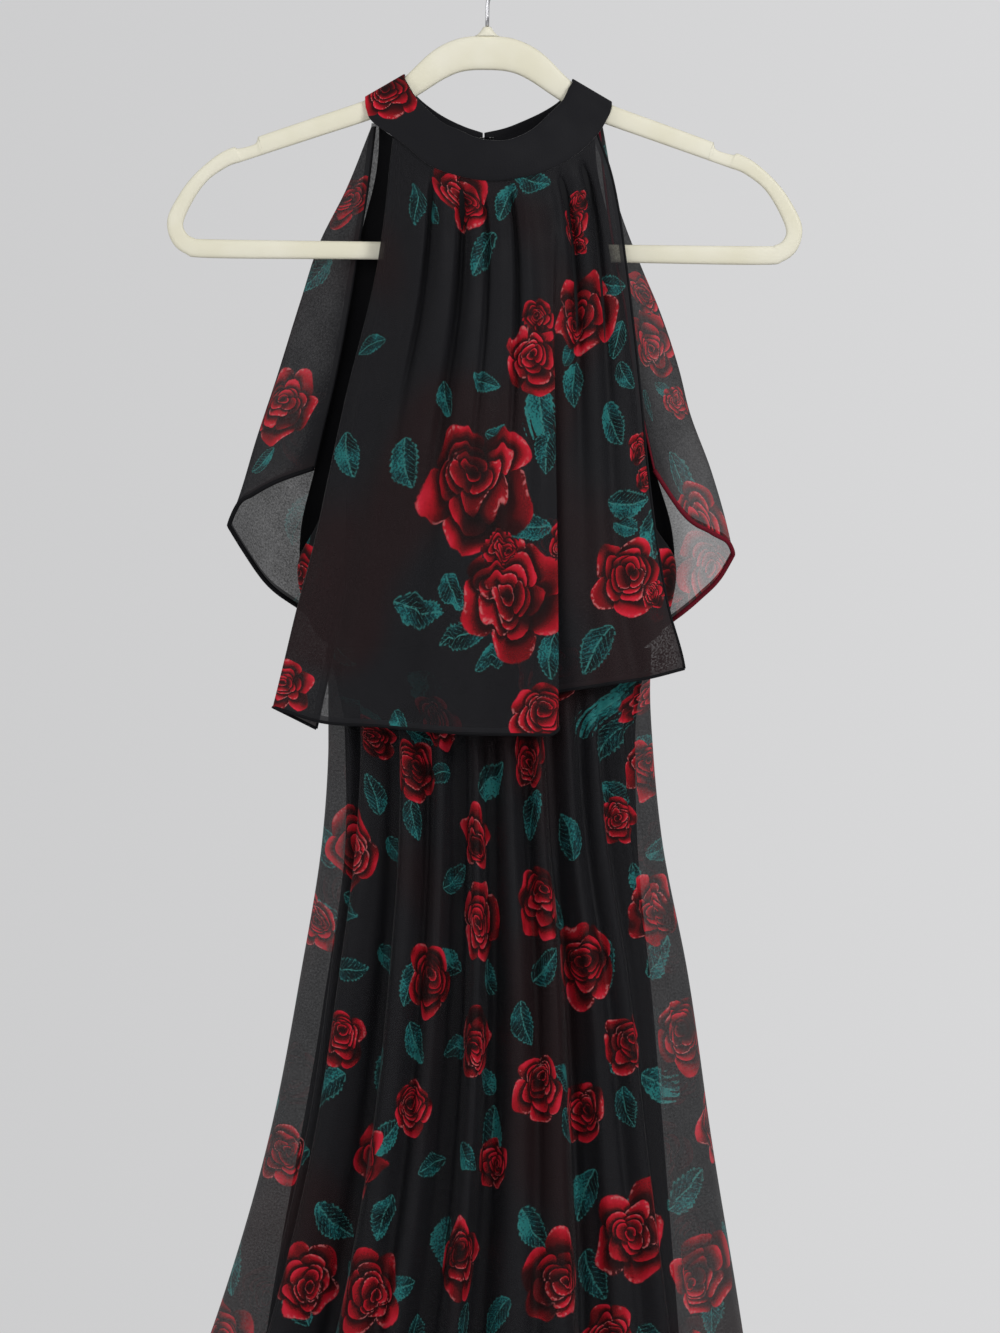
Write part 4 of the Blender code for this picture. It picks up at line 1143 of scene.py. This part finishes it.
def underbodice_grid(front, rows, columns):
    """Front or back of the under-bodice, from the band's seam into the skirt's waist."""
    sign = -1 if front else 1
    table = BAND_FRONT if front else BAND_BACK
    first, second = (1, 2) if front else (3, 4)
    top_left = float(column(BODICE_SIDES, BODICE_TOP_Z, first))
    top_right = float(column(BODICE_SIDES, BODICE_TOP_Z, second))
    end_z = min(float(seam_point(table, top_left)[0]), float(seam_point(table, top_right)[0])) - SEAM
    v = down_share(rows)
    angle = np.pi * (across_share(columns) - 0.5)
    across = np.sin(angle)
    edge_z = mix(end_z, WAIST_Z + HALF_SEAM, v) + np.zeros_like(across)
    reach = np.where(across < 0, column(BODICE_SIDES, edge_z, first), column(BODICE_SIDES, edge_z, second))
    top_x = np.where(across < 0, top_left, top_right) * np.abs(across)
    seam_z, seam_y = seam_point(table, top_x)
    z = mix(seam_z + SEAM_LAP, WAIST_Z - WAIST_LAP, v)
    middle_y = column(BODICE_DEPTH, z, first)
    side_y = column(BODICE_DEPTH, edge_z, second) + sign * HALF_SEAM
    y = side_y + (middle_y - side_y) * np.cos(angle)
    y = mix(seam_y - sign * LINING_GAP, y, ease(v / 0.10))
    x = mix(top_x, reach * np.abs(across), np.where(v < 0.2, ease(v / 0.2), 1.0))
    y = y + (sign * BODICE_WAVE * ripple(across_share(columns), v, (9, 5), 5)
             * ease(v * 6) * ease((1 - v) * 8) * np.cos(angle))
    # Its turned-in end lies inside the gathers of the skirt
    tuck = 1 - 0.06 * ease((v - 0.96) / 0.03)
    return np.dstack((x * tuck, y * tuck, z))


def overlay_front_grid(rows, left_columns, turn_columns, right_columns):
    """The front overlay: a left part, one pleat turned over, a right part, and the left fold back."""
    v = down_share(rows)
    top_left, top_right = OVERLAY_SIDES[0][1:]
    left_z = mix(OVERLAY_SIDES[0][0], OVERLAY_LEFT_HEM_Z, v)
    right_z = mix(OVERLAY_SIDES[0][0], OVERLAY_RIGHT_HEM_Z, v)
    left_x = column(OVERLAY_SIDES, left_z, 1)
    right_x = column(OVERLAY_SIDES, right_z, 2)
    open_share = ease(v * 1.1)
    drop = PLEAT_DROP * ease(v * 1.5)
    turn_x = PLEAT_X - PLEAT_TURN
    after_x = turn_x + mix(PLEAT_STEP, -PLEAT_TUCK, open_share)
    curl = mix(*PLEAT_CURL, open_share)
    left = across_share(left_columns)
    turn = (np.arange(1, turn_columns) / turn_columns)[None, :]
    right = across_share(right_columns)
    rest = 1 - turn
    turned_x = (turn_x * rest ** 3 + 3 * (turn_x + curl) * rest ** 2 * turn
                + 3 * (after_x - curl) * rest * turn ** 2 + after_x * turn ** 3)
    x = np.concatenate([mix(left_x, turn_x, left), turned_x, mix(after_x, right_x, right)], axis=1)
    top_x = np.concatenate([mix(top_left, turn_x, left), mix(turn_x, turn_x + PLEAT_STEP, turn),
                            mix(turn_x + PLEAT_STEP, top_right, right)], axis=1)
    hem_z = np.concatenate([column(HEM_LEFT, mix(HEM_LEFT[0][0], PLEAT_X, left), 1),
                            mix(HEM_LEFT[-1][1], HEM_RIGHT[0][1], turn),
                            column(HEM_RIGHT, mix(HEM_RIGHT[0][0], HEM_RIGHT[-1][0], right), 1)], axis=1)
    behind = np.concatenate([0 * left, ease(turn), (1 - right) ** 0.7], axis=1)
    seam_z, seam_y = seam_point(BAND_FRONT, top_x)
    z = mix(seam_z + SEAM_LAP, hem_z, v)
    middle_y = column(OVERLAY_DEPTH, z, 1)
    side_y = np.where(x < 0, column(OVERLAY_DEPTH, z, 2), column(OVERLAY_DEPTH, z, 3))
    across = np.minimum(1.0, np.abs(x) / np.abs(np.where(x < 0, left_x, right_x)))
    y = side_y + (middle_y - side_y) * (1 - across ** 2.3) + drop * behind
    y = mix(seam_y, y, ease(v / 0.14))
    place = (x - left_x) / (right_x - left_x)
    for centre, at_band, at_hem, half in OVERLAY_PLEATS:
        y = y + mix(at_band, at_hem, v) * ease(v * 6) * bump(place, centre, half)
    for at_band, at_hem, deep_band, deep_hem, half in OVERLAY_CREASES:
        y = y + (mix(deep_band, deep_hem, ease(v * 1.3)) * ease(v * 14)
                 * bump(place, mix(at_band, at_hem, v), half * (1 + 0.9 * v)))
    y = y + OVERLAY_WAVE * ripple(place, v, (7, 4), 11) * ease(v * 3)
    z = z + OVERLAY_HEM_WAVE * ripple(place, 0.5, (9, 1), 21) * v ** 6
    # The left side is folded back under, wider and lower towards the hem
    back = np.linspace(1, 0, FOLD_BACK_COLUMNS + 1)[None, :-1]
    width = mix(*FOLD_BACK_WIDTH, ease(v * 1.1))
    x = np.concatenate([x[:, :1] + width * back, x], axis=1)
    y = np.concatenate([y[:, :1] + FOLD_BACK_AIR * np.sqrt(back) * ease(v * 4), y], axis=1)
    z = np.concatenate([z[:, :1] - FOLD_BACK_DROP * back * v ** 4, z], axis=1)
    return np.dstack((x, y, z))


def overlay_back_grid(side, rows, near_columns, far_columns):
    """One half of the back overlay: the wing before its fold, and the part behind it."""
    wing, near_hem, far_hem = ((WING_LEFT, NEAR_HEM_LEFT, FAR_HEM_LEFT) if side < 0
                               else (WING_RIGHT, NEAR_HEM_RIGHT, FAR_HEM_RIGHT))
    v = down_share(rows)
    middle_x = BACK_MIDDLE_X + side * HALF_SEAM
    near = (np.arange(near_columns) / near_columns)[None, :]
    z = mix(NEAR_TOP_Z, column(near_hem, near, 1), v)
    join_x, fold_x, fold_y = (column(wing, z, c) for c in (1, 2, 3))
    x = mix(join_x, fold_x, np.sin(near * np.pi / 2))
    y = mix(NEAR_Y, fold_y, 1 - np.cos(near * np.pi / 2))
    y = y + WING_BELLY * np.sin(np.pi * near) * np.sin(np.pi * v)
    near_part = np.dstack((x, y, z))
    far = (np.linspace(0, 1, far_columns) ** 1.25)[None, :]
    top_x = mix(wing[0][2], middle_x, far)
    seam_z, seam_y = seam_point(BAND_BACK, top_x)
    z = mix(np.minimum(seam_z, FAR_TOP_Z) + SEAM_LAP, column(far_hem, far, 1), v)
    fold_x, fold_y = (column(wing, z, c) for c in (2, 3))
    x = mix(fold_x, middle_x, far)
    y = mix(fold_y, column(BACK_DEPTH, z, 1), np.sin(far ** 0.8 * np.pi / 2))
    for centre, depth, half in WING_FOLDS:
        y = y - depth * bump(far, centre, half) * ease(v * 1.2)
    y = y + WING_WAVE * ripple(far, v, (8, 4), 31 + side) * ease(v * 3) * ease((1 - far) * 12)
    top_y = mix(wing[0][3], np.maximum(seam_y, wing[0][3]), ease(far * 12))
    y = mix(top_y, y, ease(v / 0.12))
    far_part = np.dstack((x, y, z))
    return np.concatenate([near_part, far_part], axis=1)


def clear_of_lining(x, y, z, sign):
    """The skirt's depth, held outside the lining under it."""
    left, right, deep = (column(LINING, z, c) for c in (1, 2, 3 if sign < 0 else 4))
    share = np.clip((x - (left + right) / 2) / ((right - left) / 2), -1.0, 1.0)
    limit = deep * np.sqrt(1 - share ** 2) + sign * LINING_AIR
    held = np.minimum(y, limit) if sign < 0 else np.maximum(y, limit)
    return np.where(z < WAIST_Z - 0.03, held, y)


def skirt_grid(table, sign, folds, ridges, fine, rows, columns, seed=0):
    """Half of a skirt from waist to hem. A seed adds gathers and keeps it clear of the lining."""
    top_z = table[0][0]
    hem_z = table[-1][0]
    v = down_share(rows)
    z = mix(top_z, hem_z, v ** 1.15)
    down = (z - top_z) / (hem_z - top_z)
    left, right, deep, gain = (column(table, z, c) for c in (1, 2, 3 if sign < 0 else 4, 5))
    centre = (left + right) / 2
    reach = (right - left) / 2
    flat = across_share(columns)
    angle = np.pi * (flat - 0.5)
    across = np.sin(angle)
    inward = np.zeros((rows, columns))
    for sink, dents in ((gain, folds), (-gain, ridges), (ease(down * 16) * (0.75 + 0.25 * down), fine)):
        for at_waist, at_hem, depth, half in dents:
            inward += sink * depth * bump(angle, np.arcsin(mix(at_waist, at_hem, down)), half * 2)
    if seed:
        # Gathers under the waist seam, uneven and soon lost in the folds
        inward += SKIRT_GATHER * ripple(flat, 0.5, (46, 1), seed) * bump(down, 0.03, 0.07)
        inward += SKIRT_WAVE * ripple(flat, v, (12, 7), seed + 1) * ease(down * 4)
    from_seam = 1 - np.abs(flat - 0.5) * 2
    inward *= ease(from_seam * 5)
    x = centre + (reach - inward * np.abs(across)) * across
    y = deep * np.cos(angle) - sign * inward * np.sqrt(np.maximum(np.cos(angle), 0.0))
    z = z + np.zeros_like(x)
    if seed:
        y = clear_of_lining(x, y, z, sign) * ease(from_seam * 80)
        z = z + SKIRT_HEM_WAVE * ripple(flat, 0.5, (7, 1), seed + 2) * down ** 8 * ease(from_seam * 12)
    # The side seams are sewn, so the front and the back meet there
    return np.dstack((x, y - sign * SIDE_LAP, z))


# The print: photo x, photo y, radius in metres, turn in degrees, seed. The skirt's main tables are
# placed in the whole view, all the others in the close view.
FRONT_ROSES = (
    (462, 200, 0.0245, 10, 1.0), (578, 203, 0.0085, 60, 2.1), (571, 227, 0.0130, 60, 2.9),
    (578, 247, 0.0075, 20, 3.3), (582, 316, 0.0275, 100, 3.7), (531, 358, 0.0250, 200, 4.4),
    (538, 322, 0.0125, 30, 4.9), (478, 490, 0.0415, 30, 5.2), (519, 601, 0.0375, 150, 6.9),
    (552, 543, 0.0150, 20, 7.7), (624, 580, 0.0260, 250, 7.3), (654, 594, 0.0100, 40, 8.1),
    (540, 716, 0.0240, 80, 8.8), (638, 448, 0.0105, 90, 10.2), (646, 480, 0.0090, 10, 9.5),
    (290, 688, 0.0170, 60, 11.4), (500, 548, 0.0130, 60, 12.9),
)
FRONT_LEAVES = (
    (485, 252, 0.0190, 118, 1.0), (418, 205, 0.0150, 100, 2.0), (433, 216, 0.0110, 60, 2.6),
    (507, 203, 0.0150, 120, 3.0), (532, 183, 0.0150, 10, 4.0), (370, 347, 0.0110, 150, 5.0),
    (405, 467, 0.0195, 75, 6.0), (346, 456, 0.0170, 70, 7.0), (540, 418, 0.0220, 80, -8.0),
    (546, 452, 0.0165, 100, 8.0), (420, 612, 0.0195, 10, 9.0), (452, 590, 0.0140, 60, 10.0),
    (461, 635, 0.0165, 160, 11.0), (592, 650, 0.0190, 120, 12.0), (618, 342, 0.0135, 100, 13.0),
    (446, 404, 0.0130, 60, 14.0), (572, 388, 0.0165, 80, 15.0), (529, 527, 0.0160, 170, 16.0),
    (628, 507, 0.0170, 0, 17.0), (652, 533, 0.0190, 85, 18.0), (400, 722, 0.0110, 60, 19.0),
    (484, 386, 0.0120, 20, 20.0), (626, 377, 0.0125, 50, 21.0), (549, 655, 0.0170, 95, 22.0),
    (627, 529, 0.0120, 20, 23.0), (612, 288, 0.0120, 10, 24.0), (610, 425, 0.0170, 60, 25.0),
    (568, 356, 0.0100, 110, 26.0), (500, 438, 0.0110, 10, 27.0), (490, 655, 0.0120, 150, 28.0),
)
LEFT_WING_ROSES = (
    (349, 200, 0.0195, 40, 1.5), (286, 403, 0.0270, 120, 2.5),
)
LEFT_WING_LEAVES = (
    (316, 275, 0.0170, 60, 1.2), (262, 462, 0.0120, 60, 3.2),
)
RIGHT_WING_ROSES = (
    (644, 293, 0.0150, 30, 3.1), (652, 342, 0.0225, 80, 4.1), (704, 532, 0.0310, 10, 5.1),
    (677, 401, 0.0115, 60, 6.1),
)
RIGHT_WING_LEAVES = (
    (684, 482, 0.0230, 80, 4.2), (664, 391, 0.0090, 30, 5.2), (648, 405, 0.0120, 110, 6.2),
    (608, 165, 0.0150, 95, 7.2),
)
RIGHT_FAR_ROSES = ((704, 578, 0.0330, 50, 8.1),)
RIGHT_FAR_LEAVES = ((688, 612, 0.0100, 120, 9.2),)
BAND_ROSES = ((385, 96, 0.0260, 20, 2.3),)
BODICE_ROSES = (
    (303, 580, 0.0220, 10, 4.9), (668, 586, 0.0250, 10, 5.9),
)
BODICE_LEAVES = (
    (300, 540, 0.0120, 80, 4.9), (662, 470, 0.0120, 80, 5.9),
)
WAIST_ROSES = (
    (650, 694, 0.0200, 60, 31.0), (377, 737, 0.0140, 20, 32.5),
)
SKIRT_ROSES = (
    (427, 1085, 0.0180, 10, 1.1), (436, 1124, 0.0200, 80, 2.2), (463, 1032, 0.0210, 20, 1.6),
    (483, 1056, 0.0210, 30, 3.3), (485, 1085, 0.0270, 120, 4.4), (506, 1078, 0.0260, 60, 5.5),
    (545, 1080, 0.0230, 10, 6.6), (533, 1050, 0.0160, 10, 6.1), (506, 1140, 0.0230, 170, 7.7),
    (462, 1147, 0.0190, 20, 8.8), (536, 1126, 0.0200, 20, 9.2), (490, 1168, 0.0170, 20, 9.6),
    (424, 1208, 0.0280, 60, 9.9), (446, 1210, 0.0300, 90, 9.4), (432, 1246, 0.0320, 10, 10.1),
    (478, 1200, 0.0260, 140, 11.2), (512, 1204, 0.0300, 90, 12.3), (516, 1254, 0.0220, 50, 13.4),
    (562, 1206, 0.0270, 10, 14.5), (528, 1225, 0.0190, 10, 15.6), (472, 1290, 0.0290, 70, 16.7),
    (508, 1292, 0.0320, 110, 17.8), (572, 1270, 0.0300, 30, 18.9), (386, 1277, 0.0250, 10, 19.1),
    (520, 1325, 0.0320, 10, 20.1), (400, 1300, 0.0220, 10, 20.9),
)
WAIST_LEAVES = (
    (611, 706, 0.0240, 100, -41.0), (608, 735, 0.0200, 120, 41.0), (420, 738, 0.0130, 30, 42.0),
)
SKIRT_LEAVES = (
    (462, 1050, 0.0150, 80, 1.0), (503, 1048, 0.0190, 110, 4.0), (440, 1100, 0.0150, 0, 2.0),
    (528, 1098, 0.0170, 90, 3.0), (456, 1060, 0.0120, 60, 4.6), (500, 1120, 0.0170, 70, 5.0),
    (432, 1140, 0.0190, 140, 6.0), (520, 1178, 0.0190, 110, 7.0), (434, 1187, 0.0190, 40, 8.0),
    (452, 1184, 0.0170, 110, 9.0), (508, 1232, 0.0200, 130, 10.0), (536, 1148, 0.0150, 70, 11.0),
    (548, 1140, 0.0190, 20, -12.0), (410, 1230, 0.0180, 20, 13.0), (498, 1268, 0.0200, 50, 14.0),
    (534, 1294, 0.0200, 150, 15.0), (478, 1266, 0.0180, 10, 16.0), (556, 1242, 0.0190, 130, 17.0),
)


def placed_motifs(grid, lengths, table, view=close_place):
    """Each motif's centre in lengths along the cloth, from where it shows in the photograph."""
    found = []
    for px, py, radius, turn, seed in table:
        x, z = view(px, py)
        away = np.hypot(grid[:, :, 0] - x, grid[:, :, 2] - z) + 0.02 * (grid[:, :, 1] + 0.07)
        i, j = np.unravel_index(np.argmin(away), away.shape)
        found.append((*lengths[i, j], radius, turn, seed))
    return found


def scattered(lengths, motifs, radii, count, seed, spread, bare=0.0):
    """More motifs where the photograph shows none, none closer than their size allows.

    The first bare metres of each row keep only the photograph's own motifs.
    """
    rng = np.random.default_rng(seed)
    found = list(motifs)
    low = lengths.reshape(-1, 2).min(axis=0)
    low[0] += bare
    high = lengths.reshape(-1, 2).max(axis=0)
    for _ in range(count):
        spot = rng.uniform(low, high)
        radius = rng.uniform(*radii)
        turn = rng.uniform(0, 360)
        number = rng.uniform(0, 40)
        if all(math.hypot(spot[0] - m[0], spot[1] - m[1]) > (radius + m[2]) * spread / 2 for m in found):
            found.append((*spot, radius, turn, number))
    return found


def cloth_piece(node, grid, material, slot, cut, held, rests_on, roses=(), leaves=(), edges=(), turned=(),
                bunched=None):
    """A cloth shell with its print and its rolled hems."""
    piece = sheet_object(f"{node}_cloth", grid, material, roses, leaves, turned, bunched)
    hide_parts(node)
    for label, path, radius, hem_paint in edges:
        hem = rolled_edge(f"{node}_cloth_{label}", path, radius, HEM_FLATNESS, hem_paint)


def printed(grid, motifs, far_motifs=((), ()), seed=0):
    """Roses and leaves from the photograph's close and whole views, and more where it shows none."""
    lengths = cloth_lengths(grid)
    found = []
    for k, (radii, spread) in enumerate(SKIRT_FILL):
        placed = placed_motifs(grid, lengths, motifs[k])
        placed += placed_motifs(grid, lengths, far_motifs[k], whole_place)
        found.append(scattered(lengths, placed, radii, SKIRT_TRIES, seed + k, spread) if seed else placed)
    return found


def front_bunching(rows, columns):
    """How much denser the front overlay shows: at its corners it lies in several folds."""
    v = down_share(rows)
    share = across_share(columns)
    left = 0.12 * bump(share, 0.03, 0.20) * ease((v - 0.5) * 3)
    right = 0.17 * bump(share, 1.0, 0.16) * ease((v - 0.5) * 3)
    return left + right + 0.03


def wing_bunching(side, near, rows, columns):
    """How much denser or clearer a wing shows: dense at its folds, and low down on the left."""
    v = down_share(rows)
    share = (np.arange(near) / near)[None, :]
    out = np.zeros((rows, columns))
    out[:, :near] = (0.12 * bump(share, 0.04, 0.16) + 0.10 * bump(share, 0.98, 0.12)
                     - 0.05 * bump(share, 0.5, 0.35)) * ease(v * 2.2)
    if side < 0:
        out[:, :near] += 0.12 * ease((v - 0.62) * 4)
        out[:, near:] += 0.085
    else:
        far = across_share(columns - near)
        out[:, near:] -= 0.15 * ease((v - 0.60) * 5) * ease((0.35 - far) * 6)
    return out


def build_overlay(paint):
    grid = overlay_front_grid(*OVERLAY_GRID)
    hem = paint["hem"]
    cloth_piece("overlay_front", grid, paint["chiffon"], "chiffon", OVERLAY_FRONT_CUT, "hung",
                "neckband_front", *printed(grid, (FRONT_ROSES, FRONT_LEAVES)),
                edges=(("hem", grid[-1], OVERLAY_HEM, hem), ("left_edge", grid[:, 0], OVERLAY_EDGE, hem),
                       ("right_edge", grid[:, -1], OVERLAY_EDGE, hem)),
                turned=("start", "end"), bunched=front_bunching(*grid.shape[:2]))
    near = WING_GRID[1]
    for label, side, near_motifs, far_motifs, hem in (
            ("left", -1, (LEFT_WING_ROSES, LEFT_WING_LEAVES), ((), ()), paint["hem"]),
            ("right", 1, (RIGHT_WING_ROSES, RIGHT_WING_LEAVES), (RIGHT_FAR_ROSES, RIGHT_FAR_LEAVES),
             paint["red_hem"])):
        grid = overlay_back_grid(side, *WING_GRID)
        lengths = cloth_lengths(grid)
        motifs = []
        for k, (radii, spread) in enumerate(WING_FILL):
            placed = placed_motifs(grid[:, :near], lengths[:, :near], near_motifs[k])
            placed += placed_motifs(grid[:, near:], lengths[:, near:], far_motifs[k])
            seed = 70 + 10 * k + side
            motifs.append(scattered(lengths, placed, radii, WING_TRIES, seed, spread, WING_BARE))
        cloth_piece(f"overlay_back_{label}", grid, paint["chiffon"], "chiffon", OVERLAY_BACK_CUT, "hung",
                    f"neckband_back_{label}", *motifs,
                    (("hem", grid[-1], WING_HEM, hem), ("armhole_edge", grid[:, 0], ARMHOLE_EDGE, hem)),
                    ("start",), wing_bunching(side, near, *grid.shape[:2]))


def build_underbodice(paint):
    for label, motifs, band in (("front", (BODICE_ROSES, BODICE_LEAVES), "neckband_front"),
                                ("back", ((), ()), "neckband_back_left")):
        grid = underbodice_grid(label == "front", *BODICE_GRID)
        cloth_piece(f"underbodice_{label}", grid, paint["bodice"], "lining", UNDERBODICE_CUT, "hung", band,
                    *printed(grid, motifs))


def build_skirt(paint):
    # The back's columns run the other way, so that its print reads from outside
    for label, sign, dents, near_motifs, far_motifs, seed in (
            ("front", -1, (FRONT_FOLDS, FRONT_RIDGES, FRONT_FINE), (WAIST_ROSES, WAIST_LEAVES),
             (SKIRT_ROSES, SKIRT_LEAVES), 41),
            ("back", 1, (BACK_FOLDS, BACK_RIDGES, BACK_FINE), ((), ()), ((), ()), 61)):
        grid = skirt_grid(SKIRT, sign, *dents, *SKIRT_GRID, seed)[:, ::-sign]
        cloth_piece(f"skirt_{label}", grid, paint["chiffon"], "chiffon", SKIRT_CUT, "gathered",
                    f"underbodice_{label}", *printed(grid, near_motifs, far_motifs, seed),
                    edges=(("hem", grid[-1], SKIRT_HEM, paint["hem"]),))
        grid = skirt_grid(LINING, sign, LINING_FOLDS, (), (), *LINING_GRID)[:, ::-sign]
        cloth_piece(f"skirt_lining_{label}", grid, paint["lining"], "lining", LINING_CUT, "hung",
                    f"underbodice_{label}", edges=(("hem", grid[-1], LINING_HEM, paint["hem"]),))


def build_closure(steel):
    """The hook and eye keep their solids, lacquered black."""
    for node in ("neck_hook", "neck_eye"):
        piece = bpy.data.objects[node]
        piece.data.materials.clear()
        piece.data.materials.append(steel)


# Stage, light and camera

FLOOR_Z = -1.60
FLOOR_RADIUS = 6.0
# What the camera sees behind the dress, and how strongly the same air lights it
AIR_SEEN = 0.655
AIR_LIGHT = 0.30
AIR_RISE = 0.09
LIT_MIDDLE = (0.0, 0.0, -0.5)


def build_stage():
    """A plain pale floor, with nothing standing on any side."""
    material, tree, shader = material_base("studio_grey")
    cloud = noise_value(tree, own_place(tree), 1.2, 2.0)
    set_inputs(tree, shader, {
        "Base Color": colour_mix(tree, (0.70, 0.70, 0.705), (0.74, 0.74, 0.745), cloud),
        "Roughness": 0.9, "Specular IOR Level": 0.1})
    bpy.ops.mesh.primitive_circle_add(vertices=96, radius=FLOOR_RADIUS, fill_type="NGON",
                                      location=(0.0, 0.0, FLOOR_Z))
    floor = bpy.context.object
    floor.name = "studio_floor"
    floor.data.materials.append(material)


def area_light(name, place, size, power):
    """A soft lamp aimed at the dress's middle."""
    data = bpy.data.lights.new(name, "AREA")
    data.shape = "RECTANGLE"
    data.size, data.size_y = size
    data.energy = power
    lamp = bpy.data.objects.new(name, data)
    bpy.context.collection.objects.link(lamp)
    lamp.location = place
    lamp.rotation_euler = (Vector(LIT_MIDDLE) - Vector(place)).to_track_quat("-Z", "Y").to_euler()


def build_light():
    world = bpy.data.worlds.new("studio_air")
    bpy.context.scene.world = world
    world.use_nodes = True
    tree = world.node_tree
    air = tree.nodes["Background"]
    air.inputs["Color"].default_value = (0.99, 0.99, 1.0, 1.0)
    seen = Wire(tree, tree.nodes.new("ShaderNodeLightPath").outputs["Is Camera Ray"])
    # Brighter to the right, as in the photograph
    across = split(tree, tree.nodes.new("ShaderNodeTexCoord").outputs["Generated"])[0]
    brighter = across.step(-0.09, 0.09) * AIR_RISE - AIR_RISE / 2
    strength = seen * (brighter + (AIR_SEEN - AIR_LIGHT)) + AIR_LIGHT
    tree.links.new(strength.socket, air.inputs["Strength"])
    area_light("key", (1.9, -2.0, 0.9), (1.1, 1.4), 44)
    area_light("side", (-2.2, -0.9, 0.1), (0.8, 1.8), 13.5)
    area_light("front", (-0.6, -3.0, 0.4), (1.6, 1.6), 17)
    area_light("behind", (0.4, 2.6, 0.9), (2.0, 1.4), 4)


def build_camera():
    data = bpy.data.cameras.new("camera")
    data.lens = LENS
    data.sensor_width = SENSOR
    data.clip_end = 30
    camera = bpy.data.objects.new("camera", data)
    bpy.context.collection.objects.link(camera)
    x, z = close_place(PHOTO_WIDTH / 2, PHOTO_HEIGHT / 2)
    distance = LENS / SENSOR * PHOTO_HEIGHT * CLOSE_SCALE
    camera.location = (x, -distance, z)
    camera.rotation_euler = (math.pi / 2, 0.0, 0.0)
    bpy.context.scene.camera = camera


def main():
    scene = bpy.context.scene
    scene.view_settings.view_transform = "Standard"
    # Enough for cloth four layers deep; more only makes the render longer
    scene.cycles.max_bounces = 4
    scene.cycles.diffuse_bounces = 2
    scene.cycles.glossy_bounces = 2
    scene.cycles.transparent_max_bounces = 10
    rose = rose_group()
    leaf = leaf_group()
    paint = {
        "closure": hook_material(),
        "chiffon": printed_kinds(chiffon_material, "chiffon", rose, leaf),
        "bodice": printed_kinds(cloth_material, "bodice", rose, leaf, (0.0045, 0.0045, 0.0055)),
        "band": cloth_material("band_black", rose, leaf, (0.0080, 0.0080, 0.0100), 0.16, 800.0),
        "lining": cloth_material("lining_black", None, None, (0.0040, 0.0040, 0.0050)),
        "hem": hem_material("hem_black", (0.0032, 0.0032, 0.0040)),
        "red_hem": hem_material("hem_red", (0.085, 0.004, 0.010)),
    }
    build_camera()
    build_stage()
    build_light()
    build_hanger(hanger_material(), wire_material())
    build_neckband(paint["band"])
    build_closure(paint["closure"])
    build_overlay(paint)
    build_underbodice(paint)
    build_skirt(paint)


main()
